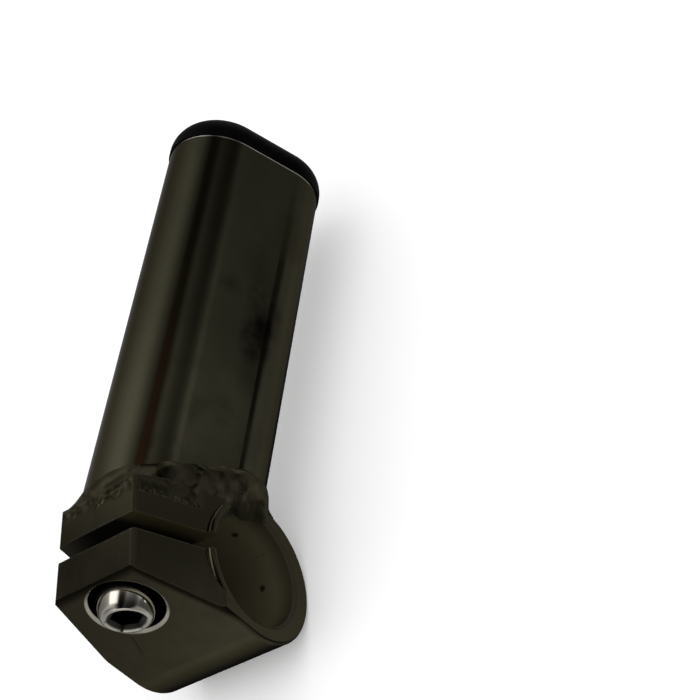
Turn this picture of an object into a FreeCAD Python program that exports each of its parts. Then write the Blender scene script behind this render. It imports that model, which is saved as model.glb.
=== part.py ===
import FreeCAD, Part
import math
import os
import Sketcher

# Bar end for a flat bicycle handlebar.
# X runs across the bore towards the horn, Y along the bore out of the plugged end,
# Z from the bore towards the clamp ears. The origin is the middle of the bore. Millimetres.

SIZES = {
    "bar_dia": 22.2,         # handlebar that the clamp grips
    "ring_wall": 2.9,        # ring's outer radius past the bore's
    "ring_drop": 1.1,        # ring's outer circle below the bore axis, for a thicker back
    "clamp_len": 27.8,       # length of the ring along the bore
    "mouth_chamfer": 0.7,    # bevel at the open mouth of the bore
    "ring_round": 0.8,       # rounding of the ring's outer end edges
    "ear_reach": 26.3,       # bore axis to the end of the ears
    "ear_span": 18.6,        # height over both ears at their end
    "ear_back_open": 5.8,    # how far the ears' end stands back from the open mouth
    "ear_back_plug": 4.3,    # how far the ears' end stands back from the plugged end
    "ring_step": 1.3,        # how far the ring stands proud of the tapered ears
    "ear_chamfer": 0.4,      # bevel round the end of each ear
    "slit_gap": 3.3,         # saw cut between the ears
    "bolt_edge": 7.7,        # bolt axis to the end of the ears
    "bolt_dia": 6.0,         # shank of the clamp bolt
    "bolt_len": 16.0,        # shank length under the head
    "bolt_tip": 0.8,         # bevel at the end of the shank
    "bolt_play": 0.3,        # radial play of the bolt in the lower ear
    "thread_gap": 0.05,      # radial gap that stands for the thread in the upper ear
    "ear_under_head": 5.6,   # lower ear left between slit and bolt head
    "head_dia": 10.6,        # bolt head
    "head_high": 6.0,        # height of the bolt head
    "head_round": 0.9,       # rounding of the head's outer edge
    "socket_flats": 5.0,     # hex key size
    "socket_deep": 3.2,      # depth of the hex socket
    "socket_dish": 0.8,      # bevel at the mouth of the hex socket
    "sink_dia": 13.2,        # counterbore round the bolt head
    "sink_chamfer": 0.55,     # bevel at the counterbore's rim
    "horn_wide": 34.3,       # long side of the oval horn tube
    "horn_thick": 22.0,      # short side of the oval horn tube
    "horn_wall": 2.2,        # wall of the horn tube
    "horn_reach": 93.0,      # bore level to the cut end of the horn
    "horn_lean": 14.0,       # degrees from square to the bore, towards the open mouth
    "horn_twist": 18.0,      # degrees the oval is turned from the ears' direction
    "horn_edge": 0.55,       # top of the horn below the end of the ears
    "horn_shift": 2.0,       # horn axis from mid clamp, towards the plugged end
    "weld_wide": 2.2,        # leg of the weld bead on the clamp
    "weld_high": 4.6,        # leg of the weld bead on the horn
    "weld_round": 2.0,       # rounding of the bead's back
    "weld_over": 0.6,        # how far the bead may hang past the clamp's sides
    "weld_lap": 2.0,         # how far the bead runs back along the sides of the ears
    "cap_lip": 0.3,          # overhang of the cap past the tube
    "cap_high": 7.2,         # height of the cap's lid
    "cap_round": 6.0,        # rounding of the lid's edge
    "cap_stem": 12.0,        # length of the cap's stem
    "cap_wall": 1.8,         # wall of the cap's stem
    "fit_gap": 0.1,          # radial gap of plug and cap in their seats
    "plug_seat": 5.0,        # depth of the seat for the bar plug
    "plug_seat_wall": 2.3,   # ring wall left round that seat
    "plug_dia": 25.6,        # flange of the bar plug
    "plug_rim": 0.6,         # thickness of the flange at its edge
    "plug_thick": 2.4,       # thickness of the flange in the middle
    "plug_flat": 17.0,       # flat of the plug's face inside its sloping edge
    "plug_round": 5.0,       # rounding between slope and flat
    "plug_skirt": 2.0,       # wall of the plug's spigot
    "dimple_dia": 6.4,       # dimple in the plug's face
    "dimple_deep": 0.9,      # depth of that dimple
}


doc = FreeCAD.newDocument("bar_end")
sheet = doc.addObject("Spreadsheet::Sheet", "sizes")
for row, (name, value) in enumerate(SIZES.items(), start=1):
    sheet.set("A%d" % row, name)
    sheet.set("B%d" % row, str(value))
    sheet.setAlias("B%d" % row, name)
doc.recompute()

half_len = SIZES["clamp_len"] / 2
bore_r = SIZES["bar_dia"] / 2
ring_r = bore_r + SIZES["ring_wall"]
seat_r = ring_r - SIZES["plug_seat_wall"]
ring_top = ring_r - SIZES["ring_drop"]
half_slit = SIZES["slit_gap"] / 2
bolt_reach = SIZES["ear_reach"] - SIZES["bolt_edge"]
head_seat = half_slit + SIZES["ear_under_head"]
SPILL = 1.0   # how far cutting shapes run past the metal
NEAR = 0.01   # how close a point must be to count as lying on a surface

# angle round the ring at which the ears' flat sides run off it
ear_high = SIZES["ear_reach"] + SIZES["ring_drop"]
ear_corner = math.hypot(ear_high, SIZES["ear_span"] / 2)
touch = math.atan2(ear_high, SIZES["ear_span"] / 2) - math.acos(ring_r / ear_corner)

RING_R = "(sizes.bar_dia / 2 + sizes.ring_wall)"
RING_TOP = "(%s - sizes.ring_drop)" % RING_R
EAR_HIGH = "(sizes.ear_reach + sizes.ring_drop)"
TOUCH = "(atan2(%s; sizes.ear_span / 2)" % EAR_HIGH
TOUCH += " - acos(%s / hypot(%s; sizes.ear_span / 2)))" % (RING_R, EAR_HIGH)
BOLT_REACH = "(sizes.ear_reach - sizes.bolt_edge)"
HORN_RISE = "(sizes.ear_reach - sizes.horn_edge - sizes.horn_thick / 2"
HORN_RISE += " - (sizes.horn_wide - sizes.horn_thick) / 2 * cos(sizes.horn_twist))"
RING_CENTRE = "-sizes.ring_drop"
SEAT_R = "(%s - sizes.plug_seat_wall)" % RING_R
HEAD_SEAT = "(sizes.slit_gap / 2 + sizes.ear_under_head)"


def new_body(name):
    """A fresh body in the document."""
    return doc.addObject("PartDesign::Body", name)


def new_sketch(body, name, plane, **offsets):
    """A sketch on one of the body's own planes, shifted by bound offsets x, y, z."""
    sketch = body.newObject("Sketcher::SketchObject", name)
    base = [item for item in body.Origin.OriginFeatures if item.Role == plane][0]
    sketch.AttachmentSupport = [(base, "")]
    sketch.MapMode = "FlatFace"
    for axis, expression in offsets.items():
        sketch.setExpression("AttachmentOffset.Base.%s" % axis, expression)
    return sketch


def bind(sketch, constraint, name, expression):
    """Add a driving constraint and tie it to the sheet."""
    index = sketch.addConstraint(constraint)
    sketch.renameConstraint(index, name)
    sketch.setExpression("Constraints.%s" % name, expression)


def draw_circle(sketch, radius, expression):
    """A circle about the sketch's origin."""
    circle = Part.Circle(FreeCAD.Vector(0, 0, 0), FreeCAD.Vector(0, 0, 1), radius)
    index = sketch.addGeometry(circle)
    sketch.addConstraint(Sketcher.Constraint("Coincident", index, 3, -1, 1))
    bind(sketch, Sketcher.Constraint("Radius", index, radius), "radius", expression)


def draw_outline(sketch, points):
    """A closed outline of straight sides; each corner is (x, y, x expression, y expression)."""
    first = sketch.GeometryCount
    corners = [FreeCAD.Vector(x, y, 0) for x, y, _, _ in points]
    count = len(corners)
    for index in range(count):
        side = Part.LineSegment(corners[index], corners[(index + 1) % count])
        sketch.addGeometry(side)
    for index in range(count):
        after = first + (index + 1) % count
        sketch.addConstraint(Sketcher.Constraint("Coincident", first + index, 2, after, 1))
    for index, (x, y, x_text, y_text) in enumerate(points):
        place_point(sketch, first + index, "x", x, x_text)
        place_point(sketch, first + index, "y", y, y_text)


def place_point(sketch, line, axis, value, text):
    """Fix the start of a line along one axis, on the axis itself where the value is zero."""
    if text == "0":
        own_axis = -2 if axis == "x" else -1
        sketch.addConstraint(Sketcher.Constraint("PointOnObject", line, 1, own_axis))
        return
    kind = "DistanceX" if axis == "x" else "DistanceY"
    constraint = Sketcher.Constraint(kind, -1, 1, line, 1, value)
    bind(sketch, constraint, "%s%d" % (axis, line), text)


def draw_oval(sketch, wide, thick, wide_text, thick_text):
    """A flat-sided oval about the origin, its long side along the sketch's y."""
    radius = thick / 2
    rise = wide / 2 - radius
    up = FreeCAD.Vector(0, rise, 0)
    normal = FreeCAD.Vector(0, 0, 1)
    right = FreeCAD.Vector(radius, 0, 0)
    top = sketch.addGeometry(Part.ArcOfCircle(Part.Circle(up, normal, radius), 0, math.pi))
    left_side = sketch.addGeometry(Part.LineSegment(up - right, up * -1 - right))
    low_circle = Part.Circle(up * -1, normal, radius)
    low = sketch.addGeometry(Part.ArcOfCircle(low_circle, math.pi, 2 * math.pi))
    right_side = sketch.addGeometry(Part.LineSegment(up * -1 + right, up + right))
    loop = [(top, left_side), (left_side, low), (low, right_side), (right_side, top)]
    for one, other in loop:
        sketch.addConstraint(Sketcher.Constraint("Tangent", one, 2, other, 1))
    sketch.addConstraint(Sketcher.Constraint("PointOnObject", top, 3, -2))
    sketch.addConstraint(Sketcher.Constraint("Symmetric", top, 3, low, 3, -1, 1))
    bind(sketch, Sketcher.Constraint("Radius", top, radius), "radius", "(%s) / 2" % thick_text)
    span = "((%s) - (%s)) / 2" % (wide_text, thick_text)
    bind(sketch, Sketcher.Constraint("DistanceY", -1, 1, top, 3, rise), "rise", span)


def draw_teardrop(sketch, grow=0.0, grow_text="0"):
    """The clamp's end view about the ring's centre, grown: the ring's arc and two sides tangent to it."""
    reach = ear_high
    radius = ring_r + grow
    half_span = SIZES["ear_span"] / 2 + grow / math.cos(touch)
    touch_x = radius * math.cos(touch)
    touch_z = radius * math.sin(touch)
    circle = Part.Circle(FreeCAD.Vector(0, 0, 0), FreeCAD.Vector(0, 0, 1), radius)
    arc = sketch.addGeometry(Part.ArcOfCircle(circle, math.pi - touch, 2 * math.pi + touch))
    right_foot = FreeCAD.Vector(touch_x, touch_z, 0)
    left_foot = FreeCAD.Vector(-touch_x, touch_z, 0)
    right_end = FreeCAD.Vector(half_span, reach, 0)
    left_end = FreeCAD.Vector(-half_span, reach, 0)
    right = sketch.addGeometry(Part.LineSegment(right_foot, right_end))
    end = sketch.addGeometry(Part.LineSegment(right_end, left_end))
    left = sketch.addGeometry(Part.LineSegment(left_end, left_foot))
    sketch.addConstraint(Sketcher.Constraint("Coincident", arc, 3, -1, 1))
    sketch.addConstraint(Sketcher.Constraint("Tangent", arc, 2, right, 1))
    sketch.addConstraint(Sketcher.Constraint("Coincident", right, 2, end, 1))
    sketch.addConstraint(Sketcher.Constraint("Coincident", end, 2, left, 1))
    sketch.addConstraint(Sketcher.Constraint("Tangent", left, 2, arc, 1))
    sketch.addConstraint(Sketcher.Constraint("Symmetric", right, 2, left, 1, -2))
    bind(sketch, Sketcher.Constraint("Radius", arc, radius), "ring", "%s + %s" % (RING_R, grow_text))
    bind(sketch, Sketcher.Constraint("DistanceY", -1, 1, right, 2, reach), "reach", EAR_HIGH)
    span = Sketcher.Constraint("DistanceX", left, 1, right, 2, 2 * half_span)
    bind(sketch, span, "span", "sizes.ear_span + 2 * %s / cos(%s)" % (grow_text, TOUCH))


def pad(body, sketch, name, length, midplane=False, backwards=False):
    """Push a sketch out into a solid of a bound length."""
    feature = body.newObject("PartDesign::Pad", name)
    feature.Profile = sketch
    feature.SideType = "Symmetric" if midplane else "One side"
    feature.Reversed = backwards
    feature.setExpression("Length", length)
    doc.recompute()
    return feature


def pocket(body, sketch, name, length, midplane=False, backwards=False):
    """Cut a sketch into the body to a bound depth."""
    feature = body.newObject("PartDesign::Pocket", name)
    feature.Profile = sketch
    feature.SideType = "Symmetric" if midplane else "One side"
    feature.Reversed = backwards
    feature.setExpression("Length", length)
    doc.recompute()
    return feature


def turn(body, sketch, name, axis, kind="PartDesign::Revolution"):
    """Turn a sketch right round one of its own axes, adding or cutting."""
    feature = body.newObject(kind, name)
    feature.Profile = sketch
    feature.ReferenceAxis = (sketch, [axis])
    feature.Angle = 360.0
    doc.recompute()
    return feature


def edges_where(shape, test):
    """Names of the edges whose middle point and edge pass a test."""
    names = []
    for number, edge in enumerate(shape.Edges, start=1):
        middle = edge.valueAt((edge.FirstParameter + edge.LastParameter) / 2)
        if test(middle, edge):
            names.append("Edge%d" % number)
    return names


def dress(body, kind, name, test, size):
    """Round or bevel the chosen edges of a body by a bound size."""
    base = body.Tip
    feature = body.newObject("PartDesign::%s" % kind, name)
    feature.Base = (base, edges_where(base.Shape, test))
    feature.setExpression("Radius" if kind == "Fillet" else "Size", size)
    doc.recompute()
    return feature


def clamp_blank():
    """The clamp before drilling: teardrop block, tapered ears and the ring standing proud."""
    body = new_body("clamp_blank")
    profile = new_sketch(body, "end_view", "XZ_Plane", y=RING_CENTRE)
    draw_teardrop(profile)
    pad(body, profile, "block", "sizes.clamp_len", midplane=True)

    wide = half_len + SPILL
    high = SIZES["ear_reach"] + SPILL
    wide_text = "(sizes.clamp_len / 2 + %s)" % SPILL
    high_text = "sizes.ear_reach + %s" % SPILL
    for side, sign, mark in (("open", -1, "-"), ("plug", 1, "")):
        back = SIZES["ear_back_" + side]
        end = half_len - back
        end_text = "(sizes.clamp_len / 2 - sizes.ear_back_%s)" % side
        slope = (back - SIZES["ring_step"]) / (SIZES["ear_reach"] - ring_top)
        slope_text = "((sizes.ear_back_%s - sizes.ring_step)" % side
        slope_text += " / (sizes.ear_reach - %s))" % RING_TOP
        tip = end - slope * SPILL
        low = SIZES["ear_reach"] - (wide - end) / slope
        tip_text = "(%s - %s * %s)" % (end_text, SPILL, slope_text)
        low_text = "sizes.ear_reach - (%s - %s) / %s" % (wide_text, end_text, slope_text)
        cut = new_sketch(body, "taper_" + side, "YZ_Plane")
        draw_outline(cut, [
            (sign * wide, low, mark + wide_text, low_text),
            (sign * wide, high, mark + wide_text, high_text),
            (sign * tip, high, mark + tip_text, high_text),
        ])
        pocket(body, cut, "ear_taper_" + side, "2 * sizes.ear_span + 4 * %s" % RING_R, midplane=True)

    ring = new_sketch(body, "ring_circle", "XZ_Plane", y=RING_CENTRE)
    draw_circle(ring, ring_r, RING_R)
    pad(body, ring, "ring", "sizes.clamp_len", midplane=True)
    return body


def make_clamp(blank):
    """Bore, plug seat, slit and bolt hole cut into the blank, then its edges broken."""
    body = new_body("clamp")
    body.BaseFeature = blank
    doc.recompute()

    def ear_end(middle, edge):
        """Edges round the end face of the ears."""
        return abs(middle.z - SIZES["ear_reach"]) < NEAR

    dress(body, "Chamfer", "ear_bevels", ear_end, "sizes.ear_chamfer")

    bore = new_sketch(body, "bore_outline", "YZ_Plane")
    open_end = -half_len - SPILL
    plug_end = half_len + SPILL
    mouth_r = bore_r + SIZES["mouth_chamfer"] + SPILL
    throat = -half_len + SIZES["mouth_chamfer"]
    seat_floor = half_len - SIZES["plug_seat"]
    open_text = "-sizes.clamp_len / 2 - %s" % SPILL
    plug_text = "sizes.clamp_len / 2 + %s" % SPILL
    mouth_text = "sizes.bar_dia / 2 + sizes.mouth_chamfer + %s" % SPILL
    throat_text = "-sizes.clamp_len / 2 + sizes.mouth_chamfer"
    floor_text = "sizes.clamp_len / 2 - sizes.plug_seat"
    draw_outline(bore, [
        (open_end, 0, open_text, "0"),
        (open_end, mouth_r, open_text, mouth_text),
        (throat, bore_r, throat_text, "sizes.bar_dia / 2"),
        (seat_floor, bore_r, floor_text, "sizes.bar_dia / 2"),
        (seat_floor, seat_r, floor_text, SEAT_R),
        (plug_end, seat_r, plug_text, SEAT_R),
        (plug_end, 0, plug_text, "0"),
    ])
    turn(body, bore, "bore", "H_Axis", "PartDesign::Groove")

    slit = new_sketch(body, "slit_outline", "XZ_Plane")
    top = SIZES["ear_reach"] + SPILL
    top_text = "sizes.ear_reach + %s" % SPILL
    draw_outline(slit, [
        (-half_slit, 0, "-sizes.slit_gap / 2", "0"),
        (half_slit, 0, "sizes.slit_gap / 2", "0"),
        (half_slit, top, "sizes.slit_gap / 2", top_text),
        (-half_slit, top, "-sizes.slit_gap / 2", top_text),
    ])
    pocket(body, slit, "slit", "2 * sizes.clamp_len", midplane=True)

    hole = new_sketch(body, "bolt_hole_outline", "XZ_Plane", y=BOLT_REACH)
    thread_r = SIZES["bolt_dia"] / 2 + SIZES["thread_gap"]
    loose_r = SIZES["bolt_dia"] / 2 + SIZES["bolt_play"]
    sink_r = SIZES["sink_dia"] / 2
    side = 2 * ring_r
    side_text = "2 * %s" % RING_R
    thread_text = "sizes.bolt_dia / 2 + sizes.thread_gap"
    loose_text = "sizes.bolt_dia / 2 + sizes.bolt_play"
    draw_outline(hole, [
        (-side, 0, "-" + side_text, "0"),
        (-side, sink_r, "-" + side_text, "sizes.sink_dia / 2"),
        (-head_seat, sink_r, "-" + HEAD_SEAT, "sizes.sink_dia / 2"),
        (-head_seat, loose_r, "-" + HEAD_SEAT, loose_text),
        (0, loose_r, "0", loose_text),
        (0, thread_r, "0", thread_text),
        (side, thread_r, side_text, thread_text),
        (side, 0, side_text, "0"),
    ])
    turn(body, hole, "bolt_hole", "H_Axis", "PartDesign::Groove")

    def ring_end(middle, edge):
        """Outer end edges of the ring, on both faces."""
        if abs(abs(middle.y) - half_len) > NEAR or not hasattr(edge.Curve, "Radius"):
            return False
        return abs(edge.Curve.Radius - ring_r) < NEAR

    def sink_rim(middle, edge):
        """The rim where the counterbore breaks the sloping lower face."""
        across = math.hypot(middle.y, middle.z - bolt_reach)
        seam = edge.Curve.TypeId.endswith("Line")
        return middle.x < -head_seat - NEAR and abs(across - sink_r) < NEAR and not seam

    dress(body, "Fillet", "ring_edges", ring_end, "sizes.ring_round")
    dress(body, "Chamfer", "sink_bevel", sink_rim, "sizes.sink_chamfer")
    return body


def horn_placement(body):
    """Lean the body over with the horn and turn it by the oval's twist."""
    lean = "create(<<rotation>>; create(<<vector>>; 0; 0; 1); -sizes.horn_lean)"
    twist = "create(<<rotation>>; create(<<vector>>; 1; 0; 0); -sizes.horn_twist)"
    foot = "create(<<vector>>; 0; sizes.horn_shift; %s)" % HORN_RISE
    body.setExpression("Placement", "create(<<placement>>; %s; %s * %s)" % (foot, lean, twist))


def oval_body(name, grow=0.0, grow_text=""):
    """A solid oval bar along the horn, grown all round, from the bore's level to the cut end."""
    body = new_body(name)
    oval = new_sketch(body, name + "_oval", "YZ_Plane")
    wide = SIZES["horn_wide"] + 2 * grow
    thick = SIZES["horn_thick"] + 2 * grow
    draw_oval(oval, wide, thick, "sizes.horn_wide" + grow_text, "sizes.horn_thick" + grow_text)
    pad(body, oval, name + "_bar", "sizes.horn_reach")
    horn_placement(body)
    return body


def cope_tool():
    """The clamp's end view run out past both sides, which the horn's foot is cut to fit."""
    body = new_body("cope")
    profile = new_sketch(body, "cope_view", "XZ_Plane", y=RING_CENTRE)
    draw_teardrop(profile)
    pad(body, profile, "cope_block", "sizes.clamp_len + 2 * sizes.horn_thick", midplane=True)
    return body


def cut_away(name, base, tools):
    """One solid less several others."""
    tool = tools[0]
    if len(tools) > 1:
        tool = doc.addObject("Part::MultiFuse", name + "_tools")
        tool.Shapes = tools
    result = doc.addObject("Part::Cut", name)
    result.Base = base
    result.Tool = tool
    doc.recompute()
    return result


def weld_slug():
    """An oval slug one bead wider than the horn and one bead higher than the clamp, its rim rounded."""
    high = SIZES["weld_high"]
    oval = oval_body("weld_oval", SIZES["weld_wide"], " + 2 * sizes.weld_wide")
    roof = new_body("weld_roof")
    profile = new_sketch(roof, "weld_view", "XZ_Plane", y=RING_CENTRE)
    draw_teardrop(profile, high, "sizes.weld_high")
    pad(roof, profile, "weld_roof_block", "sizes.clamp_len + 2 * sizes.horn_thick", midplane=True)
    slug = doc.addObject("Part::MultiCommon", "weld_block")
    slug.Shapes = [oval, roof]
    doc.recompute()

    def rim(middle, edge):
        """The edge loop between the slug's sides and its roof."""
        level = middle.z + SIZES["ring_drop"]
        height = middle.x * math.cos(touch) + level * math.sin(touch)
        if level < (ring_r + high) * math.sin(touch):
            height = math.hypot(middle.x, level)
        along = abs(edge.tangentAt(edge.FirstParameter).y)
        seam = edge.Curve.TypeId.endswith("Line") and along > 1 - NEAR
        return middle.x > NEAR and abs(height - ring_r - high) < 2 * NEAR and not seam

    rounded = doc.addObject("Part::Fillet", "weld_rounded")
    rounded.Base = slug
    names = edges_where(slug.Shape, rim)
    rounded.Edges = [(int(name[4:]), SIZES["weld_round"], SIZES["weld_round"]) for name in names]
    doc.recompute()
    return rounded


def weld_limit():
    """The clamp's plan view grown a little, past which no weld metal hangs."""
    body = new_body("weld_limit")
    plan = new_sketch(body, "weld_plan", "YZ_Plane")
    over = SIZES["weld_over"]
    wide = half_len + over
    low = -ring_r - SIZES["ring_drop"]
    shoulder = ring_top - SIZES["ring_step"]
    open_end = wide - SIZES["ear_back_open"]
    plug_end = wide - SIZES["ear_back_plug"]
    wide_text = "(sizes.clamp_len / 2 + sizes.weld_over)"
    low_text = "-%s - sizes.ring_drop" % RING_R
    shoulder_text = "%s - sizes.ring_step" % RING_TOP
    open_text = "-(%s - sizes.ear_back_open)" % wide_text
    plug_text = "%s - sizes.ear_back_plug" % wide_text
    draw_outline(plan, [
        (-wide, low, "-" + wide_text, low_text),
        (wide, low, wide_text, low_text),
        (wide, shoulder, wide_text, shoulder_text),
        (plug_end, SIZES["ear_reach"], plug_text, "sizes.ear_reach"),
        (-open_end, SIZES["ear_reach"], open_text, "sizes.ear_reach"),
        (-wide, shoulder, "-" + wide_text, shoulder_text),
    ])
    pad(body, plan, "weld_limit_block", "2 * sizes.horn_reach", midplane=True)
    return body


def weld_keep_out():
    """The room inside the clamp's outline that stays free of weld: ring, bore mouth and slit."""
    body = new_body("weld_keep_out")
    length = "sizes.clamp_len + 2 * sizes.horn_thick"
    profile = new_sketch(body, "keep_out_view", "XZ_Plane", y=RING_CENTRE)
    draw_teardrop(profile, -SIZES["weld_lap"], "(-sizes.weld_lap)")
    pad(body, profile, "keep_out_ears", length, midplane=True)
    ring = new_sketch(body, "keep_out_circle", "XZ_Plane", y=RING_CENTRE)
    draw_circle(ring, ring_r, RING_R)
    pad(body, ring, "keep_out_ring", length, midplane=True)
    return body


def make_weld(outer, blank):
    """The bead round the foot of the horn."""
    pieces = [weld_slug(), weld_limit()]
    keep_out = weld_keep_out()
    bead = doc.addObject("Part::MultiCommon", "weld_trimmed")
    bead.Shapes = pieces
    doc.recompute()
    return cut_away("weld_bead", bead, [outer, blank, keep_out])


def make_bolt():
    """Socket head cap screw lying along X through both ears."""
    body = new_body("clamp_bolt")
    half = new_sketch(body, "bolt_outline", "XZ_Plane", y=BOLT_REACH)
    head_top = head_seat + SIZES["head_high"]
    head_r = SIZES["head_dia"] / 2
    shank_r = SIZES["bolt_dia"] / 2
    tip = SIZES["bolt_len"] - head_seat
    top_text = "-%s - sizes.head_high" % HEAD_SEAT
    dish_text = "sizes.socket_flats / sqrt(3) + sizes.socket_dish"
    dish_r = SIZES["socket_flats"] / math.sqrt(3) + SIZES["socket_dish"]
    tip_text = "sizes.bolt_len - %s" % HEAD_SEAT
    draw_outline(half, [
        (-head_top + SIZES["socket_dish"], 0, top_text + " + sizes.socket_dish", "0"),
        (-head_top + SIZES["socket_dish"], dish_r - SIZES["socket_dish"],
         top_text + " + sizes.socket_dish", "sizes.socket_flats / sqrt(3)"),
        (-head_top, dish_r, top_text, dish_text),
        (-head_top, head_r, top_text, "sizes.head_dia / 2"),
        (-head_seat, head_r, "-" + HEAD_SEAT, "sizes.head_dia / 2"),
        (-head_seat, shank_r, "-" + HEAD_SEAT, "sizes.bolt_dia / 2"),
        (tip - SIZES["bolt_tip"], shank_r, tip_text + " - sizes.bolt_tip", "sizes.bolt_dia / 2"),
        (tip, shank_r - SIZES["bolt_tip"], tip_text, "sizes.bolt_dia / 2 - sizes.bolt_tip"),
        (tip, 0, tip_text, "0"),
    ])
    turn(body, half, "turned_bolt", "H_Axis")

    socket = new_sketch(body, "hex_socket", "YZ_Plane", y=BOLT_REACH, z=top_text)
    corner_r = SIZES["socket_flats"] / math.sqrt(3)
    circle = Part.Circle(FreeCAD.Vector(0, 0, 0), FreeCAD.Vector(0, 0, 1), corner_r)
    guide = socket.addGeometry(circle, True)
    socket.addConstraint(Sketcher.Constraint("Coincident", guide, 3, -1, 1))
    corners = []
    for index in range(6):
        angle = math.radians(60 * index)
        corners.append(FreeCAD.Vector(corner_r * math.cos(angle), corner_r * math.sin(angle), 0))
    sides = [socket.addGeometry(Part.LineSegment(corners[i], corners[(i + 1) % 6])) for i in range(6)]
    for index, side in enumerate(sides):
        after = sides[(index + 1) % 6]
        socket.addConstraint(Sketcher.Constraint("Coincident", side, 2, after, 1))
        socket.addConstraint(Sketcher.Constraint("PointOnObject", side, 1, guide))
        if index:
            socket.addConstraint(Sketcher.Constraint("Equal", sides[0], side))
    socket.addConstraint(Sketcher.Constraint("PointOnObject", sides[0], 1, -1))
    bind(socket, Sketcher.Constraint("Radius", guide, corner_r), "corner", "sizes.socket_flats / sqrt(3)")
    pocket(body, socket, "socket", "sizes.socket_deep", backwards=True)

    def head_edge(middle, edge):
        """The outer edge of the bolt head's end face."""
        across = math.hypot(middle.y, middle.z - bolt_reach)
        return abs(middle.x + head_top) < NEAR and abs(across - head_r) < NEAR

    dress(body, "Fillet", "head_edge", head_edge, "sizes.head_round")
    return body


def make_cap():
    """Push-in cap of the horn: a rounded oval lid on a hollow stem."""
    body = new_body("tube_cap")
    reach = "sizes.horn_reach"
    lid = new_sketch(body, "lid_oval", "YZ_Plane", z=reach)
    lip = SIZES["cap_lip"]
    draw_oval(lid, SIZES["horn_wide"] + 2 * lip, SIZES["horn_thick"] + 2 * lip,
              "sizes.horn_wide + 2 * sizes.cap_lip", "sizes.horn_thick + 2 * sizes.cap_lip")
    pad(body, lid, "lid", "sizes.cap_high")

    inset = SIZES["horn_wall"] + SIZES["fit_gap"]
    stem_inset = "(sizes.horn_wall + sizes.fit_gap)"
    stem = new_sketch(body, "stem_oval", "YZ_Plane", z=reach)
    draw_oval(stem, SIZES["horn_wide"] - 2 * inset, SIZES["horn_thick"] - 2 * inset,
              "sizes.horn_wide - 2 * " + stem_inset, "sizes.horn_thick - 2 * " + stem_inset)
    pad(body, stem, "stem", "sizes.cap_stem", backwards=True)

    inset += SIZES["cap_wall"]
    hollow_inset = "(sizes.horn_wall + sizes.fit_gap + sizes.cap_wall)"
    hollow = new_sketch(body, "hollow_oval", "YZ_Plane", z="sizes.horn_reach - sizes.cap_stem")
    draw_oval(hollow, SIZES["horn_wide"] - 2 * inset, SIZES["horn_thick"] - 2 * inset,
              "sizes.horn_wide - 2 * " + hollow_inset, "sizes.horn_thick - 2 * " + hollow_inset)
    pocket(body, hollow, "hollow", "sizes.cap_stem", backwards=True)

    def lid_edge(middle, edge):
        """The edge round the lid's outer face."""
        return abs(middle.x - SIZES["horn_reach"] - SIZES["cap_high"]) < NEAR

    dress(body, "Fillet", "lid_round", lid_edge, "sizes.cap_round")
    horn_placement(body)
    doc.recompute()
    return body


def make_bar_plug():
    """Rubber plug in the outer end of the bore: a dimpled flange on a hollow spigot."""
    body = new_body("bar_plug")
    half = new_sketch(body, "plug_outline", "YZ_Plane")
    face = half_len + SIZES["plug_thick"]
    rim = half_len + SIZES["plug_rim"]
    flange_r = SIZES["plug_dia"] / 2
    flat_r = SIZES["plug_flat"] / 2
    spigot_r = seat_r - SIZES["fit_gap"]
    inner_r = spigot_r - SIZES["plug_skirt"]
    end = half_len - SIZES["plug_seat"] + SIZES["fit_gap"]
    dimple_r = SIZES["dimple_dia"] / 2
    face_text = "sizes.clamp_len / 2 + sizes.plug_thick"
    rim_text = "sizes.clamp_len / 2 + sizes.plug_rim"
    spigot_text = "%s - sizes.fit_gap" % SEAT_R
    inner_text = "%s - sizes.fit_gap - sizes.plug_skirt" % SEAT_R
    end_text = "sizes.clamp_len / 2 - sizes.plug_seat + sizes.fit_gap"
    draw_outline(half, [
        (half_len, 0, "sizes.clamp_len / 2", "0"),
        (half_len, inner_r, "sizes.clamp_len / 2", inner_text),
        (end, inner_r, end_text, inner_text),
        (end, spigot_r, end_text, spigot_text),
        (half_len, spigot_r, "sizes.clamp_len / 2", spigot_text),
        (half_len, flange_r, "sizes.clamp_len / 2", "sizes.plug_dia / 2"),
        (rim, flange_r, rim_text, "sizes.plug_dia / 2"),
        (face, flat_r, face_text, "sizes.plug_flat / 2"),
        (face, dimple_r, face_text, "sizes.dimple_dia / 2"),
        (face - SIZES["dimple_deep"], 0, face_text + " - sizes.dimple_deep", "0"),
    ])
    turn(body, half, "turned_plug", "H_Axis")

    def slope_edge(middle, edge):
        """The edge between the sloping rim and the flat of the face."""
        across = math.hypot(middle.x, middle.z)
        return abs(middle.y - face) < NEAR and abs(across - flat_r) < NEAR

    dress(body, "Fillet", "face_round", slope_edge, "sizes.plug_round")
    return body


blank = clamp_blank()
clamp = make_clamp(blank)
outer = oval_body("horn_outer")
core = oval_body("horn_core", -SIZES["horn_wall"], " - 2 * sizes.horn_wall")
horn = cut_away("horn_tube", outer, [core, cope_tool()])
weld = make_weld(outer, blank)
bolt = make_bolt()
cap = make_cap()
bar_plug = make_bar_plug()
doc.recompute()

for item in doc.Objects:
    if "Invalid" in item.State or "Error" in item.State:
        raise RuntimeError("%s did not build" % item.Name)

os.makedirs("parts", exist_ok=True)
for piece in (clamp, horn, weld, bolt, cap, bar_plug):
    shape = piece.Shape
    if shape.isNull() or not shape.isValid() or len(shape.Solids) != 1:
        raise RuntimeError("%s is not one sound solid" % piece.Label)
    shape.exportStep("parts/%s.step" % piece.Label)
    print(piece.Label, round(shape.Volume, 1))
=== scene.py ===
"""Looks of a welded bicycle bar end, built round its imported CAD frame.

X runs across the bore towards the horn, Y along the bore out of the plugged end, Z from the bore to the
clamp ears, and the origin is the middle of the bore. Sizes are millimetres until they reach a mesh.
"""

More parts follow.
